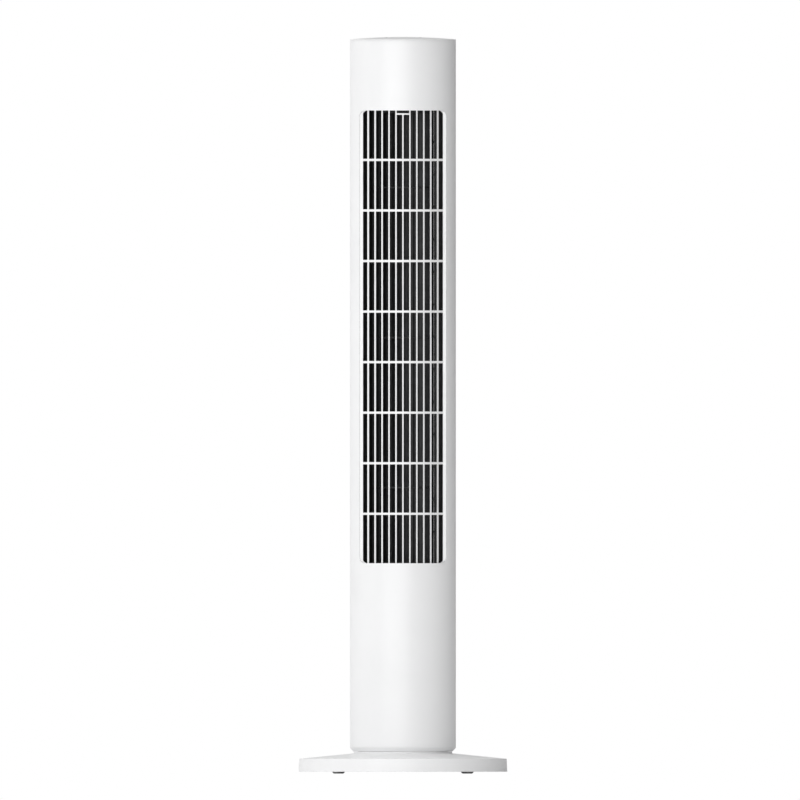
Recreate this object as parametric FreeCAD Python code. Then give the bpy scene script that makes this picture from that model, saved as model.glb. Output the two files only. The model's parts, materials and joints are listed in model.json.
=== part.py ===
import FreeCAD, Part
import math
import os

# Tower fan: a slim round column that blows from a tall front grille and swings on a round base.
# Millimetres, +Z up, front towards -Y. The origin is on the floor, on the column's axis.
# Each function makes one sub-part where it belongs in the assembled fan, with the swing at its centre.

# ---- driving sizes ----
total_height = 1100.0        # floor to the top of the dome
base_radius = 155.8          # at the foot of the rim
column_radius = 79.0         # outside of the casing

# casing
column_wall = 2.4
seam_gap = 0.2               # hairline between casing mouldings
shell_split_y = 14.0         # the casing parts into a front and a rear shell here
dome_rise = 4.1              # the top swells by this
cap_wall = 2.4
cap_band = 1.6               # plain band around the dome's foot
chamfer = 5.5                # under the column, at 45 degrees
tray_lip = 1.0               # plain band above the chamfer
tray_floor = 6.0
tray_web = 3.5               # floor thickness over the gear well
skirt_height = 11.0          # spigots that locate the shells on the tray and in the cap
skirt_wall = 2.2
boss_half = 3.6              # half the width of a screw boss
fit_gap = 0.2                # clearance between a spigot and what it fits
tray_corner = 1.6            # rounding above the chamfer

# outlet window and front grille
window_bottom = 314.2        # above the floor
window_top_margin = 105.7    # from the window's top edge to the casing's rim
window_half_angle = 55.1     # to the window's side edge, seen from the column's axis
outlet_half_angle = 49.45    # to the outermost slot's edge
window_corner = 8.5
slot_corner = 7.3
grille_recess = 4.0          # the bars' fronts lie this far behind the casing's surface
grille_depth = 7.0
strip_recess = 0.4           # the flat side strips lie this far behind the window's edge
strip_thickness = 3.2
upright_bars = 11
upright_front = 1.8          # bar width at the front
upright_back = 2.8           # and at the back, so that it leaves its mould
edge_slot = 7.255            # front width of the slots at both sides
grille_rows = 9
cross_bar = 3.4
top_notch = 4.1              # height of the release notch over the middle bar
notch_bar = 2.3
grille_overlap = 8.0         # the grille runs this far behind the casing, above and below
grille_flange = 2.4          # the flange behind the casing's front
grille_flange_angle = 3.4    # and how far it runs past the window's side edge

# intake window and rear grille
intake_half_angle = 62.0
intake_overlap = 4.0         # the intake window is this much taller than the outlet, at each end
intake_ledge = 5.8
ledge_wall = 2.0
ledge_band = 6.0             # the ledge runs this far beyond the window, above and below
ledge_side = 4.0             # and beside it
intake_corner = 12.0
intake_slot_angle = 3.4
intake_bar_angle = 1.6
intake_rows = 14
intake_bar = 3.0
intake_border = 6.0
intake_gap = 0.3
rear_wall_gap = 0.1          # from the rear grille's inside to the ledge
peg_radius = 2.0
peg_length = 7.0
peg_slack = 0.15
peg_sink = 0.8               # the pegs grow out of the grille this far under its surface
peg_margin = 60.0            # from the window's ends to the outer pegs

# base
foot_height = 2.8
foot_radius = 9.7
foot_taper = 2.1
foot_circle = 136.0
foot_count = 4
foot_seat = 1.2
foot_slack = 0.1
foot_rounding = 1.0
rim_height = 19.4
rim_draft = 0.9
rim_land = 0.8               # the rim's inner face leans in by this
rim_rounding = 0.9
cone_rise = 8.1
neck_height = 2.2
neck_rounding = 0.4
base_wall = 3.0
cover_thickness = 2.5
cover_pin_count = 3
cover_pin_radius = 3.0
cover_pin_rise = 1.2         # above the ballast plate
ballast_thickness = 5.0
ballast_radius = 124.0
ballast_bore = 36.0
base_screw_count = 6
base_post_radius = 4.6
base_post_inset = 13.0       # screw posts stand this far inside the rim
well_floor_height = 12.2     # underside of the gear well, above the underside of the base
well_floor = 5.0
gland_bore = 3.6             # for a 7 mm mains lead
gland_radius = 5.5
gland_flange = 6.7
gland_flange_thickness = 2.0
gland_length = 12.0
gland_height = 9.8           # above the underside of the base
gland_set_back = 0.4         # behind the rim's face
gland_slack = 0.05
pivot_radius = 12.0
pivot_bore = 9.0
pivot_flange = 30.0
pivot_flange_thickness = 3.0
pivot_screw_circle = 22.0
pivot_screw_count = 4
pivot_seat_gap = 0.1         # from the tube to its collar
pivot_end = 3.0              # the tube stands this far out of its nut
collar_wall = 3.0
collar_drop = 1.0            # the collar ends this far under the gears' top
running_gap = 0.06           # shaft in its bush, all round

# swivel bearing
swivel_gap = 0.5             # between the base's neck and the column
ball_radius = 2.5
ball_count = 24
ball_slack = 0.15
race_half_width = 5.8
race_thickness = 2.0
race_standoff = 1.6          # from the balls' centres to each race
race_inset = 9.5             # from the neck's edge in to the balls' circle
cage_half_width = 3.6
cage_thickness = 1.4

# swing drive
swing_limit = 75.0           # degrees each way
stop_lug_angle = 5.0
stop_margin = 2.0
stop_block_angle = 8.0
stop_block_depth = 4.5
stop_lug_depth = 3.5
stop_clearance = 2.4         # from the gears' top to the stops
gear_module = 1.5
gear_ratio = 4               # ring teeth for each pinion tooth
gear_width = 8.0
gear_backlash = 0.35
gear_rim = 4.8
gear_fit = 0.3               # from the ring gear to its well
gear_screw_count = 4
pinion_angle = 180.0         # where the pinion meshes
pinion_lift = 1.0            # above the well's floor
pinion_hub_step = 2.5        # from the teeth's roots in to the hub
web_setback = 1.0            # the well's roof is this much smaller than the well
hub_radius = 16.0
hub_height = 16.0
bush_wall = 2.4
bush_flange = 1.5
nut_flats = 30.0
nut_height = 8.0
nut_play = 0.4               # end play of the column under its nut
washer_thickness = 1.2
washer_overhang = 1.5
swing_can_radius = 17.5
swing_can_height = 15.0
swing_can_offset = 8.0       # the can's centre from its shaft
swing_can_rounding = 1.2
swing_ear_half = 4.5
swing_ear_end = 4.5          # from a screw to the ear's end
swing_ear_thickness = 1.5
swing_screw_reach = 4.0      # from the can out to a screw
swing_plug = (4.0, 14.0, 2.0, 8.0)      # the plug's reach, width, height above the floor and depth
swing_shaft_radius = 2.5
swing_shaft_room = 1.2
swing_shaft_start = 1.5      # above the well's floor
swing_shaft_end = 2.0        # above the tray's floor

# screws
screw_shank = 1.5
screw_head = 2.9
screw_head_height = 2.0
screw_slack = 0.05           # between a shank and its pilot hole
through_slack = 0.2          # between a shank and a hole it passes through
head_sink = 1.5              # how deep the base's screw heads are let in
small_screw = 0.7            # the ring gear's and the base's screws, as a share of the others' size
short_screw = 8.0            # lengths under the head
ring_screw = 10.0
base_screw = 12.0
shell_screw = 30.0
swing_screw = 4.5

# blower
wheel_offset = 8.0           # the wheel's axis lies behind the column's
duct_room = 30.6             # from the casing's inside to the wheel
wheel_end_gap = 7.0          # from the wheel to each bulkhead
wheel_segments = 6
blade_count = 36
blade_depth = 11.0
blade_thickness = 1.1
blade_sweep = 9.0            # degrees from a blade's root to its tip
blade_bow = 1.9
wheel_plate = 3.0
wheel_ring = 2.0
duct_clearance = 4.0
duct_wall = 2.2
bulkhead_thickness = 3.0
volute_start = 150.0         # degrees, about the wheel's axis
duct_end_set_back = 1.5      # the duct's walls stop this far behind the grille
duct_end_margin = 1.0        # and this far outside of the outlet
tongue_nose = -22.0          # degrees, about the wheel's axis
tongue_back = 6.0
tongue_back_room = 9.0       # from the wheel to the tongue's rear end
cup_wall = 2.0
cup_height = 8.0
bearing_height = 6.0
bearing_drop = 0.5           # the bearing hangs this far under its bulkhead
plate_boss = 4.0             # wall around the axle
plate_boss_rise = 3.0
bearing_radius = 8.0
bearing_seat_radius = 16.0
axle_radius = 3.0

# fan motor
motor_radius = 37.0
motor_height = 46.0
motor_wall = 1.6
motor_drop = 17.0            # from the lower bulkhead to the motor's top
motor_shaft_radius = 4.0
shaft_end_gap = 0.6          # from the shaft to the motor's floor
shaft_end_rise = 2.0         # the shaft stands this far out of the wheel's plate
rotor_radius = 19.0
rotor_height = 28.0
air_gap = 0.5
stator_poles = 9
post_radius = 4.5
post_circle = 50.0
bracket_thickness = 2.5
rubber_radius = 7.0
rubber_wall = 2.0
bracket_rim = 2.0            # the bracket's plate is this much wider than the motor
bracket_eye = 2.5            # wall around a rubber
bracket_arm = 12.0           # arm width
bracket_bore = 13.0          # radius, clear of the shaft and bearing cup
hub_outer = 14.0
hub_length = 12.0
hub_neck = 4.0               # step from the hub to its neck
cap_height = 10.0            # of the motor's upper half
cap_roof = 3.0
case_rounding = 3.0
motor_bearing_wall = 5.0
motor_cup_wall = 2.2
motor_screw_inset = 7.0
yoke_wall = 4.0
tooth_width = 4.8
coil_width = 8.8

# electronics
board_thickness = 1.6
board_foot_gap = 45.0        # from the tray's floor up to the main board
board_top_gap = 23.2         # from the main board up to the fan motor
board_screw_inset = 7.0
board_socket_drop = 16.0     # from the board's top edge down to the sockets' middle
socket_width = 12.0
socket_depth = 8.0
board_post_radius = 4.0
board_inset = 34.0           # from the casing's inside to the main board
board_side_gap = 6.0
lead_radius = 2.0
lead_room = 1.5              # around the lead where it passes a bulkhead
control_board_radius = 56.0
control_board_drop = 8.0     # from the rim down to the control board
control_screw_inset = 6.0
control_socket_height = 6.0
control_socket_step = 2.0    # behind the lead's run up the casing
control_socket_half = (7.0, 6.0)        # across and along
control_post_radius = 4.0
panel_radius = 50.0
panel_thickness = 1.6
panel_gap = 0.15
lens_half_width = 19.0
lens_half_depth = 9.0
lens_corner = 5.0
lens_thickness = 2.4
key_count = 4
key_circle = 36.0
key_spring_radius = 4.0
key_spring_wire = 0.5
key_spring_turns = 5
key_hole_slack = 1.5
display_drop = 1.5           # from the dome's underside to the digit display
display_margin = 2.0         # the display is this much smaller than its lens
display_corner = 1.5

# ---- sizes that follow ----
V = FreeCAD.Vector
up = V(0, 0, 1)
z_base = foot_height
z_rim = z_base + rim_height
z_cone = z_rim + cone_rise
z_neck = z_cone + neck_height
z_column = z_neck + swivel_gap
z_tray = z_column + tray_floor
z_shell = z_column + chamfer + tray_lip + seam_gap
z_edge = total_height - dome_rise            # the casing's rim
z_cap = z_edge - cap_band    # the cap's rim
z_shell_top = z_cap - seam_gap
rim_top_radius = base_radius - rim_draft
neck_radius = column_radius - chamfer
shell_inner = column_radius - column_wall
skirt_outer = shell_inner - fit_gap
window_top = z_edge - window_top_margin
window_half = column_radius * math.sin(math.radians(window_half_angle))
outlet_half = column_radius * math.sin(math.radians(outlet_half_angle))
grille_front = column_radius - grille_recess
grille_bottom = window_bottom - grille_overlap
grille_top = window_top + grille_overlap
row_pitch = (window_top - window_bottom + cross_bar) / grille_rows
bar_pitch = 2 * (outlet_half - edge_slot - upright_front / 2) / (upright_bars - 1)
intake_half = column_radius * math.sin(math.radians(intake_half_angle))
intake_z0 = window_bottom - grille_overlap - intake_overlap
intake_z1 = window_top + grille_overlap + intake_overlap

z_cover = z_base + cover_thickness
z_well_under = z_base + well_floor_height
z_well = z_well_under + well_floor
ball_circle = neck_radius - race_inset
ball_z = (z_neck + z_column) / 2
race_inner = ball_circle - race_half_width
race_outer = ball_circle + race_half_width
lower_race_z = ball_z - race_standoff - race_thickness
upper_race_z = ball_z + race_standoff
well_radius = race_inner - fit_gap - base_wall
collar_radius = pivot_radius + collar_wall
gear_outer = well_radius - gear_fit
root_clearance = 1.25 * gear_module
pinion_teeth = int(2 * (gear_outer - gear_rim - root_clearance) / gear_module / gear_ratio)
ring_teeth = gear_ratio * pinion_teeth
ring_pitch_radius = ring_teeth * gear_module / 2
pinion_pitch_radius = pinion_teeth * gear_module / 2
gear_distance = ring_pitch_radius - pinion_pitch_radius
pinion_x = gear_distance * math.cos(math.radians(pinion_angle))
pinion_y = gear_distance * math.sin(math.radians(pinion_angle))
gear_top = z_well + gear_width
gear_screw_circle = gear_outer - gear_rim / 2
bush_outer = pivot_radius + running_gap + bush_wall
z_hub = z_tray + hub_height
z_washer = z_hub + bush_flange + nut_play
z_nut = z_washer + washer_thickness
z_pivot_top = z_nut + nut_height + pivot_end

wheel_radius = shell_inner - duct_room
duct_end = outlet_half + duct_end_margin
duct_z0 = grille_bottom
duct_z1 = grille_top
wheel_z0 = duct_z0 + wheel_end_gap
wheel_z1 = duct_z1 - wheel_end_gap
segment_pitch = (wheel_z1 - wheel_z0 - 2 * wheel_plate) / wheel_segments
motor_top = duct_z0 - motor_drop
motor_bottom = motor_top - motor_height
bracket_z = motor_top
motor_split = motor_top - cap_height
board_bottom = z_tray + board_foot_gap
board_top = motor_bottom - board_top_gap
board_height = board_top - board_bottom
board_socket_z = board_top - board_socket_drop
board_y = shell_inner - board_inset
board_half = math.sqrt((shell_inner - board_side_gap) ** 2 - (board_y + board_thickness) ** 2)
control_z = z_edge - control_board_drop
dome_sphere = (column_radius ** 2 + dome_rise ** 2) / (2 * dome_rise)
shell_screw_heights = [z_shell + 45.0] + [
    window_bottom + (window_top - window_bottom) * share for share in (0.03, 0.35, 0.67, 0.97)]
shell_screw_x = shell_inner - 7.2
shell_screw_seat = shell_split_y + seam_gap + 8.0
ledge_front = shell_split_y + 14.0
lead_x = shell_inner - 10.0
lead_y = -20.0
control_socket_x = 31.0


# ---- shape helpers ----
def turned(points):
    """A solid turned about the Z axis from a closed outline of (radius, height) points."""
    outline = Part.makePolygon([V(r, 0, z) for r, z in points + points[:1]])
    return Part.Face(outline).revolve(V(0, 0, 0), up, 360)


def disc(radius, z0, z1, x=0.0, y=0.0):
    return Part.makeCylinder(radius, z1 - z0, V(x, y, z0))


def ring(outer, inner, z0, z1, x=0.0, y=0.0):
    return disc(outer, z0, z1, x, y).cut(disc(inner, z0 - 1, z1 + 1, x, y))


def block(x0, x1, y0, y1, z0, z1):
    return Part.makeBox(x1 - x0, y1 - y0, z1 - z0, V(x0, y0, z0))


def joined(first, others):
    return first.multiFuse(list(others)).removeSplitter()


def polar(radius, angle):
    return radius * math.cos(math.radians(angle)), radius * math.sin(math.radians(angle))


def around(shape, count, start=0.0):
    """Copies of a shape, evenly spaced about the Z axis."""
    return [shape.rotated(V(0, 0, 0), up, start + 360.0 * i / count) for i in range(count)]


def sector(outer, inner, middle, half_angle, z0, z1):
    """Part of a ring, half_angle to each side of the direction middle, in degrees."""
    wedge = Part.makeCylinder(outer, z1 - z0, V(0, 0, z0), up, 2 * half_angle)
    wedge = wedge.rotated(V(0, 0, 0), up, middle - half_angle)
    return wedge.cut(disc(inner, z0 - 1, z1 + 1))


def rounded_window(half_width, z0, z1, corner, y0, y1):
    """A block along Y whose front outline is a rectangle with round corners."""
    body = block(-half_width, half_width, y0, y1, z0, z1)
    upright_edges = [e for e in body.Edges if abs(e.BoundBox.YLength - (y1 - y0)) < 1e-6]
    return body.makeFillet(corner, upright_edges)


def rounded_plate(half_x, half_y, corner, z0, z1, y_mid=0.0):
    body = block(-half_x, half_x, y_mid - half_y, y_mid + half_y, z0, z1)
    corners = [e for e in body.Edges if abs(e.BoundBox.ZLength - (z1 - z0)) < 1e-6]
    return body.makeFillet(corner, corners)


def screw(x, y, z, direction, length, size=1.0):
    """A pan-head screw: its head's seat is at x, y, z, and its shank runs along direction."""
    at = V(x, y, z)
    shank = Part.makeCylinder(size * screw_shank, length, at, direction)
    head = Part.makeCylinder(size * screw_head, size * screw_head_height, at, direction.negative())
    top = at - direction * (size * screw_head_height)
    crown = [e for e in head.Edges if (e.CenterOfMass - top).Length < 0.01]
    rounding = head.makeFillet(0.35 * size * screw_head_height, crown)
    arm = size * screw_head / 2
    cross = block(-arm, arm, -arm / 4, arm / 4, 0, arm / 1.5)
    cross = cross.fuse(cross.rotated(V(0, 0, 0), up, 90))
    cross.Placement = FreeCAD.Placement(top, FreeCAD.Rotation(up, direction))
    return shank.fuse(rounding.cut(cross)).removeSplitter()


def screw_hole(x, y, z, direction, length, size=1.0):
    return Part.makeCylinder(size * screw_shank + screw_slack, length + 0.5, V(x, y, z), direction)


def lead(points, radius):
    """A wire's solid: straight runs joined by tangent arcs, each as large as its two runs allow."""
    places = [V(*p) for p in points]
    edges = []
    start = places[0]
    for before, at, after in zip(places, places[1:], places[2:]):
        into = (at - before).normalize()
        out = (after - at).normalize()
        turn = into.getAngle(out)
        trim = 0.45 * min((at - before).Length, (after - at).Length)
        bend = trim / math.tan(turn / 2)
        arc_start = at - into * trim
        arc_end = at + out * trim
        inwards = (out - into).normalize()
        centre = at + inwards * (bend / math.cos(turn / 2))
        edges.append(Part.LineSegment(start, arc_start).toShape())
        edges.append(Part.Arc(arc_start, centre - inwards * bend, arc_end).toShape())
        start = arc_end
    edges.append(Part.LineSegment(start, places[-1]).toShape())
    path = Part.Wire(edges)
    first = (places[1] - places[0]).normalize()
    section = Part.Wire(Part.Circle(places[0], first, radius).toShape())
    tube = path.makePipeShell([section], True, False)
    off = tube.Volume / (math.pi * radius ** 2 * path.Length) - 1
    print("lead", round(path.Length, 1), "mm, volume as expected within", round(off, 5))
    return tube


def group(solids):
    return Part.makeCompound(list(solids))


# ---- gears ----
def gear_face(teeth, tip_radius, root_radius, thinning, start):
    """An involute gear's outline as a face, with one tooth centred on the direction start."""
    pressure = math.radians(20.0)
    pitch_radius = teeth * gear_module / 2
    base_circle = pitch_radius * math.cos(pressure)
    half_tooth = math.pi / (2 * teeth) - thinning / (2 * pitch_radius)

    def half_angle(r):
        roll = math.acos(min(1.0, base_circle / r))
        return half_tooth + (math.tan(pressure) - pressure) - (math.tan(roll) - roll)

    def at(r, angle):
        return V(r * math.cos(angle), r * math.sin(angle), 0)

    flank_foot = max(base_circle * 1.0005, root_radius)
    radii = [flank_foot + (tip_radius - flank_foot) * i / 3 for i in range(4)]
    edges = []
    for tooth in range(teeth):
        middle = math.radians(start) + 2 * math.pi * tooth / teeth
        following = middle + 2 * math.pi / teeth
        rising = [at(r, middle - half_angle(r)) for r in radii]
        falling = [at(r, middle + half_angle(r)) for r in reversed(radii)]
        root_end = at(root_radius, middle + half_angle(flank_foot))
        root_next = at(root_radius, following - half_angle(flank_foot))
        root_mid = at(root_radius, (middle + following) / 2)
        for flank in (rising, falling):
            curve = Part.BSplineCurve()
            curve.interpolate(flank)
            if flank is falling:
                edges.append(Part.Arc(rising[-1], at(tip_radius, middle), falling[0]).toShape())
            edges.append(curve.toShape())
        if (falling[-1] - root_end).Length > 0.01:
            edges.append(Part.LineSegment(falling[-1], root_end).toShape())
        edges.append(Part.Arc(root_end, root_mid, root_next).toShape())
        next_foot = at(flank_foot, following - half_angle(flank_foot))
        if (next_foot - root_next).Length > 0.01:
            edges.append(Part.LineSegment(root_next, next_foot).toShape())
    return Part.Face(Part.Wire(edges))


def swing_ring_gear():
    space_tip = ring_pitch_radius + root_clearance
    tooth_tip = ring_pitch_radius - 0.8 * gear_module
    cutter = gear_face(ring_teeth, space_tip, tooth_tip, -gear_backlash / 2, pinion_angle)
    teeth = cutter.extrude(V(0, 0, gear_width))
    teeth.translate(V(0, 0, z_well))
    body = disc(gear_outer, z_well, gear_top).cut(teeth)
    holes = [screw_hole(x, y, z, d, ring_screw, small_screw) for x, y, z, d in gear_screw_places()]
    return body.cut(group(holes))


def gear_screw_places():
    places = []
    for i in range(gear_screw_count):
        x, y = polar(gear_screw_circle, 45.0 + 360.0 * i / gear_screw_count)
        places.append((x, y, gear_top, V(0, 0, -1)))
    return places


def swing_pinion():
    tip = pinion_pitch_radius + gear_module
    root = pinion_pitch_radius - root_clearance
    face = gear_face(pinion_teeth, tip, root, gear_backlash / 2, pinion_angle)
    gear = face.extrude(V(0, 0, gear_width))
    gear.translate(V(pinion_x, pinion_y, z_well + pinion_lift))
    hub = disc(root - pinion_hub_step, z_well + pinion_lift + gear_width, z_column, pinion_x, pinion_y)
    bore = disc(swing_shaft_radius, z_well, z_column + 1, pinion_x, pinion_y)
    return gear.fuse(hub).cut(bore).removeSplitter()


def swing_motor_shaft():
    z0, z1 = z_well + swing_shaft_start, z_tray + swing_shaft_end
    return disc(swing_shaft_radius, z0, z1, pinion_x, pinion_y)


# ---- base ----
def rim_radius_at(z):
    return base_radius - rim_draft * (z - z_base) / rim_height


def cone_under(r):
    """Height of the cone's underside at radius r."""
    slope = cone_rise / (rim_top_radius - neck_radius)
    return z_rim + (rim_top_radius - r) * slope - base_wall


def base_screw_places():
    radius = base_radius - base_post_inset
    turn = 360.0 / base_screw_count
    return [polar(radius, turn * i) for i in range(base_screw_count)]


def pivot_screw_places():
    turn = 360.0 / pivot_screw_count
    return [polar(pivot_screw_circle, turn * (i + 0.5)) for i in range(pivot_screw_count)]


def base_shell():
    inner_rim = base_radius - base_wall
    deck_under = lower_race_z - base_wall
    collar_bore = pivot_radius + pivot_seat_gap
    body = turned([
        (base_radius, z_base), (rim_top_radius, z_rim), (neck_radius, z_cone), (neck_radius, z_neck),
        (race_outer + fit_gap, z_neck), (race_outer + fit_gap, lower_race_z),
        (race_inner - fit_gap, lower_race_z), (race_inner - fit_gap, z_neck), (well_radius, z_neck),
        (well_radius, z_well), (collar_radius, z_well), (collar_radius, gear_top - collar_drop),
        (collar_bore, gear_top - collar_drop), (collar_bore, z_well_under),
        (well_radius + base_wall, z_well_under), (well_radius + base_wall, deck_under),
        (neck_radius, deck_under), (inner_rim - rim_land, cone_under(inner_rim - rim_land)),
        (inner_rim, z_base),
    ])
    rim_edges = [e for e in body.Edges if abs(e.BoundBox.ZMax - z_rim) < 0.01 and e.BoundBox.ZLength < 0.01]
    body = body.makeFillet(rim_rounding, rim_edges)
    neck_edges = [e for e in body.Edges if abs(e.BoundBox.ZMax - z_neck) < 0.01
                  and abs(e.BoundBox.XMax - neck_radius) < 0.01 and e.BoundBox.ZLength < 0.01]
    body = body.makeFillet(neck_rounding, neck_edges)
    posts = [disc(base_post_radius, z_cover, cone_under(math.hypot(x, y)) + 1.0, x, y)
             for x, y in base_screw_places()]
    stops = []
    for side in (-1, 1):
        middle = 90.0 + side * (swing_limit + stop_lug_angle + stop_margin + stop_block_angle / 2)
        stops.append(sector(well_radius + 1.0, well_radius - stop_block_depth, middle, stop_block_angle / 2,
                            gear_top + stop_clearance, z_neck))
    body = joined(body, posts + stops)
    holes = [screw_hole(x, y, z_cover, up, base_screw - cover_thickness, small_screw)
             for x, y in base_screw_places()]
    holes += [screw_hole(x, y, z_well_under, up, well_floor) for x, y in pivot_screw_places()]
    holes += [screw_hole(x, y, z, d, ring_screw, small_screw) for x, y, z, d in gear_screw_places()]
    holes.append(Part.makeCylinder(gland_radius + gland_slack, 2 * gland_length,
                                   V(0, base_radius - gland_length, z_base + gland_height), V(0, 1, 0)))
    return body.cut(group(holes))


def base_cover():
    body = disc(base_radius - base_wall - fit_gap, z_base, z_cover)
    pins = [disc(cover_pin_radius, z_cover - 1, z_cover + ballast_thickness + cover_pin_rise, x, y)
            for x, y in cover_pin_places()]
    body = joined(body, pins)
    cuts = [disc(foot_radius + foot_slack, z_base - 1, z_base + foot_seat, x, y) for x, y in foot_places()]
    for x, y in base_screw_places():
        cuts.append(disc(small_screw * screw_shank + through_slack, z_base - 1, z_cover + 1, x, y))
        cuts.append(disc(small_screw * screw_head + through_slack, z_base - 1, z_base + head_sink, x, y))
    return body.cut(group(cuts))


def cover_pin_places():
    radius = (ballast_radius + ballast_bore) / 2
    return [polar(radius, 30.0 + 360.0 * i / cover_pin_count) for i in range(cover_pin_count)]


def ballast_plate():
    body = ring(ballast_radius, ballast_bore, z_cover, z_cover + ballast_thickness)
    holes = [disc(cover_pin_radius + fit_gap, z_cover - 1, z_cover + ballast_thickness + 1, x, y)
             for x, y in cover_pin_places()]
    return body.cut(group(holes))


def foot_places():
    return [polar(foot_circle, 45.0 + 360.0 * i / foot_count) for i in range(foot_count)]


def foot_pads():
    pads = []
    for x, y in foot_places():
        pad = turned([(0, 0), (foot_radius - foot_taper, 0), (foot_radius, foot_height),
                      (foot_radius, foot_height + foot_seat), (0, foot_height + foot_seat)])
        lower_edges = [e for e in pad.Edges
                       if e.BoundBox.ZMax < 0.01 and e.BoundBox.XLength > 2 * foot_taper]
        pad = pad.makeFillet(foot_rounding, lower_edges)
        pad.translate(V(x, y, 0))
        pads.append(pad)
    return group(pads)


def base_screws():
    seat = z_base + head_sink
    return group(screw(x, y, seat, up, base_screw - head_sink, small_screw) for x, y in base_screw_places())


def cable_gland():
    z = z_base + gland_height
    along = V(0, 1, 0)
    end = rim_radius_at(z) - gland_set_back
    inner_wall = math.sqrt((base_radius - base_wall - rim_land) ** 2 - gland_flange ** 2)
    body = Part.makeCylinder(gland_radius, gland_length, V(0, end - gland_length, z), along)
    flange = Part.makeCylinder(gland_flange, gland_flange_thickness,
                               V(0, inner_wall - gland_flange_thickness - fit_gap, z), along)
    bore = Part.makeCylinder(gland_bore, gland_length + 2, V(0, end - gland_length - 1, z), along)
    return body.fuse(flange).removeSplitter().cut(bore)


def pivot_tube():
    body = disc(pivot_radius, z_well_under - pivot_flange_thickness, z_pivot_top)
    flange = disc(pivot_flange, z_well_under - pivot_flange_thickness, z_well_under)
    bore = disc(pivot_bore, z_well_under - pivot_flange_thickness - 1, z_pivot_top + 1)
    holes = [disc(screw_shank + through_slack, z_well_under - 10, z_well_under + 1, x, y)
             for x, y in pivot_screw_places()]
    return body.fuse(flange).removeSplitter().cut(group([bore] + holes))


def pivot_screws():
    seat = z_well_under - pivot_flange_thickness
    return group(screw(x, y, seat, up, short_screw) for x, y in pivot_screw_places())


def ring_gear_screws():
    return group(screw(x, y, z, d, ring_screw, small_screw) for x, y, z, d in gear_screw_places())


def pivot_nut():
    flats = [polar(nut_flats / 2 / math.cos(math.radians(30)), 60.0 * i) for i in range(7)]
    nut = Part.Face(Part.makePolygon([V(x, y, z_nut) for x, y in flats])).extrude(V(0, 0, nut_height))
    washer = disc(nut_flats / 2 + washer_overhang, z_washer, z_nut)
    return nut.fuse(washer).removeSplitter().cut(disc(pivot_radius, z_washer - 1, z_nut + nut_height + 1))


def race(z0, z1):
    groove = Part.makeTorus(ball_circle, ball_radius + ball_slack, V(0, 0, ball_z))
    return ring(race_outer, race_inner, z0, z1).cut(groove)


def lower_race():
    return race(lower_race_z, lower_race_z + race_thickness)


def upper_race():
    return race(upper_race_z, upper_race_z + race_thickness)


def bearing_balls():
    ball = Part.makeSphere(ball_radius, V(ball_circle, 0, ball_z))
    return group(around(ball, ball_count))


def ball_cage():
    body = ring(ball_circle + cage_half_width, ball_circle - cage_half_width,
                ball_z - cage_thickness / 2, ball_z + cage_thickness / 2)
    pocket = disc(ball_radius + ball_slack, ball_z - 2, ball_z + 2, ball_circle, 0)
    return body.cut(group(around(pocket, ball_count)))


# ---- column: tray and casing ----
def bottom_tray():
    under_web = z_tray - tray_web
    bore = bush_outer
    roof = well_radius - web_setback
    body = turned([
        (bore, z_hub), (bore, under_web), (roof, under_web), (roof, z_column),
        (race_inner - fit_gap, z_column), (race_inner - fit_gap, upper_race_z + race_thickness),
        (race_outer + fit_gap, upper_race_z + race_thickness), (race_outer + fit_gap, z_column),
        (neck_radius, z_column), (column_radius, z_column + chamfer), (column_radius, z_shell - seam_gap),
        (skirt_outer, z_shell - seam_gap), (skirt_outer, z_shell + skirt_height),
        (skirt_outer - skirt_wall, z_shell + skirt_height), (skirt_outer - skirt_wall, z_tray),
        (hub_radius, z_tray), (hub_radius, z_hub),
    ])
    corner = [e for e in body.Edges if abs(e.BoundBox.ZMax - z_column - chamfer) < 0.01
              and e.BoundBox.ZLength < 0.01 and abs(e.BoundBox.XMax - column_radius) < 0.01]
    body = body.makeFillet(tray_corner, corner)
    lug_outer = roof + web_setback / 2
    lug = sector(lug_outer, lug_outer - stop_lug_depth, 90.0, stop_lug_angle,
                 gear_top + stop_clearance + fit_gap, under_web + 1.0)
    body = joined(body, [lug])
    holes = [disc(swing_shaft_radius + swing_shaft_room, z_column - 1, z_tray + 1, pinion_x, pinion_y)]
    holes += [screw_hole(x, y, z_tray, V(0, 0, -1), swing_screw - swing_ear_thickness)
              for x, y in swing_screw_places()]
    return body.cut(group(holes))


def pivot_bush():
    body = ring(bush_outer, pivot_radius + running_gap, z_tray - tray_web, z_hub)
    flange = ring(hub_radius, pivot_radius + running_gap, z_hub, z_hub + bush_flange)
    return body.fuse(flange).removeSplitter()


def swing_can_centre():
    return polar(gear_distance + swing_can_offset, pinion_angle)


def swing_screw_places():
    x, y = swing_can_centre()
    reach = swing_can_radius + swing_screw_reach
    return [(x, y - reach), (x, y + reach)]


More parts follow.
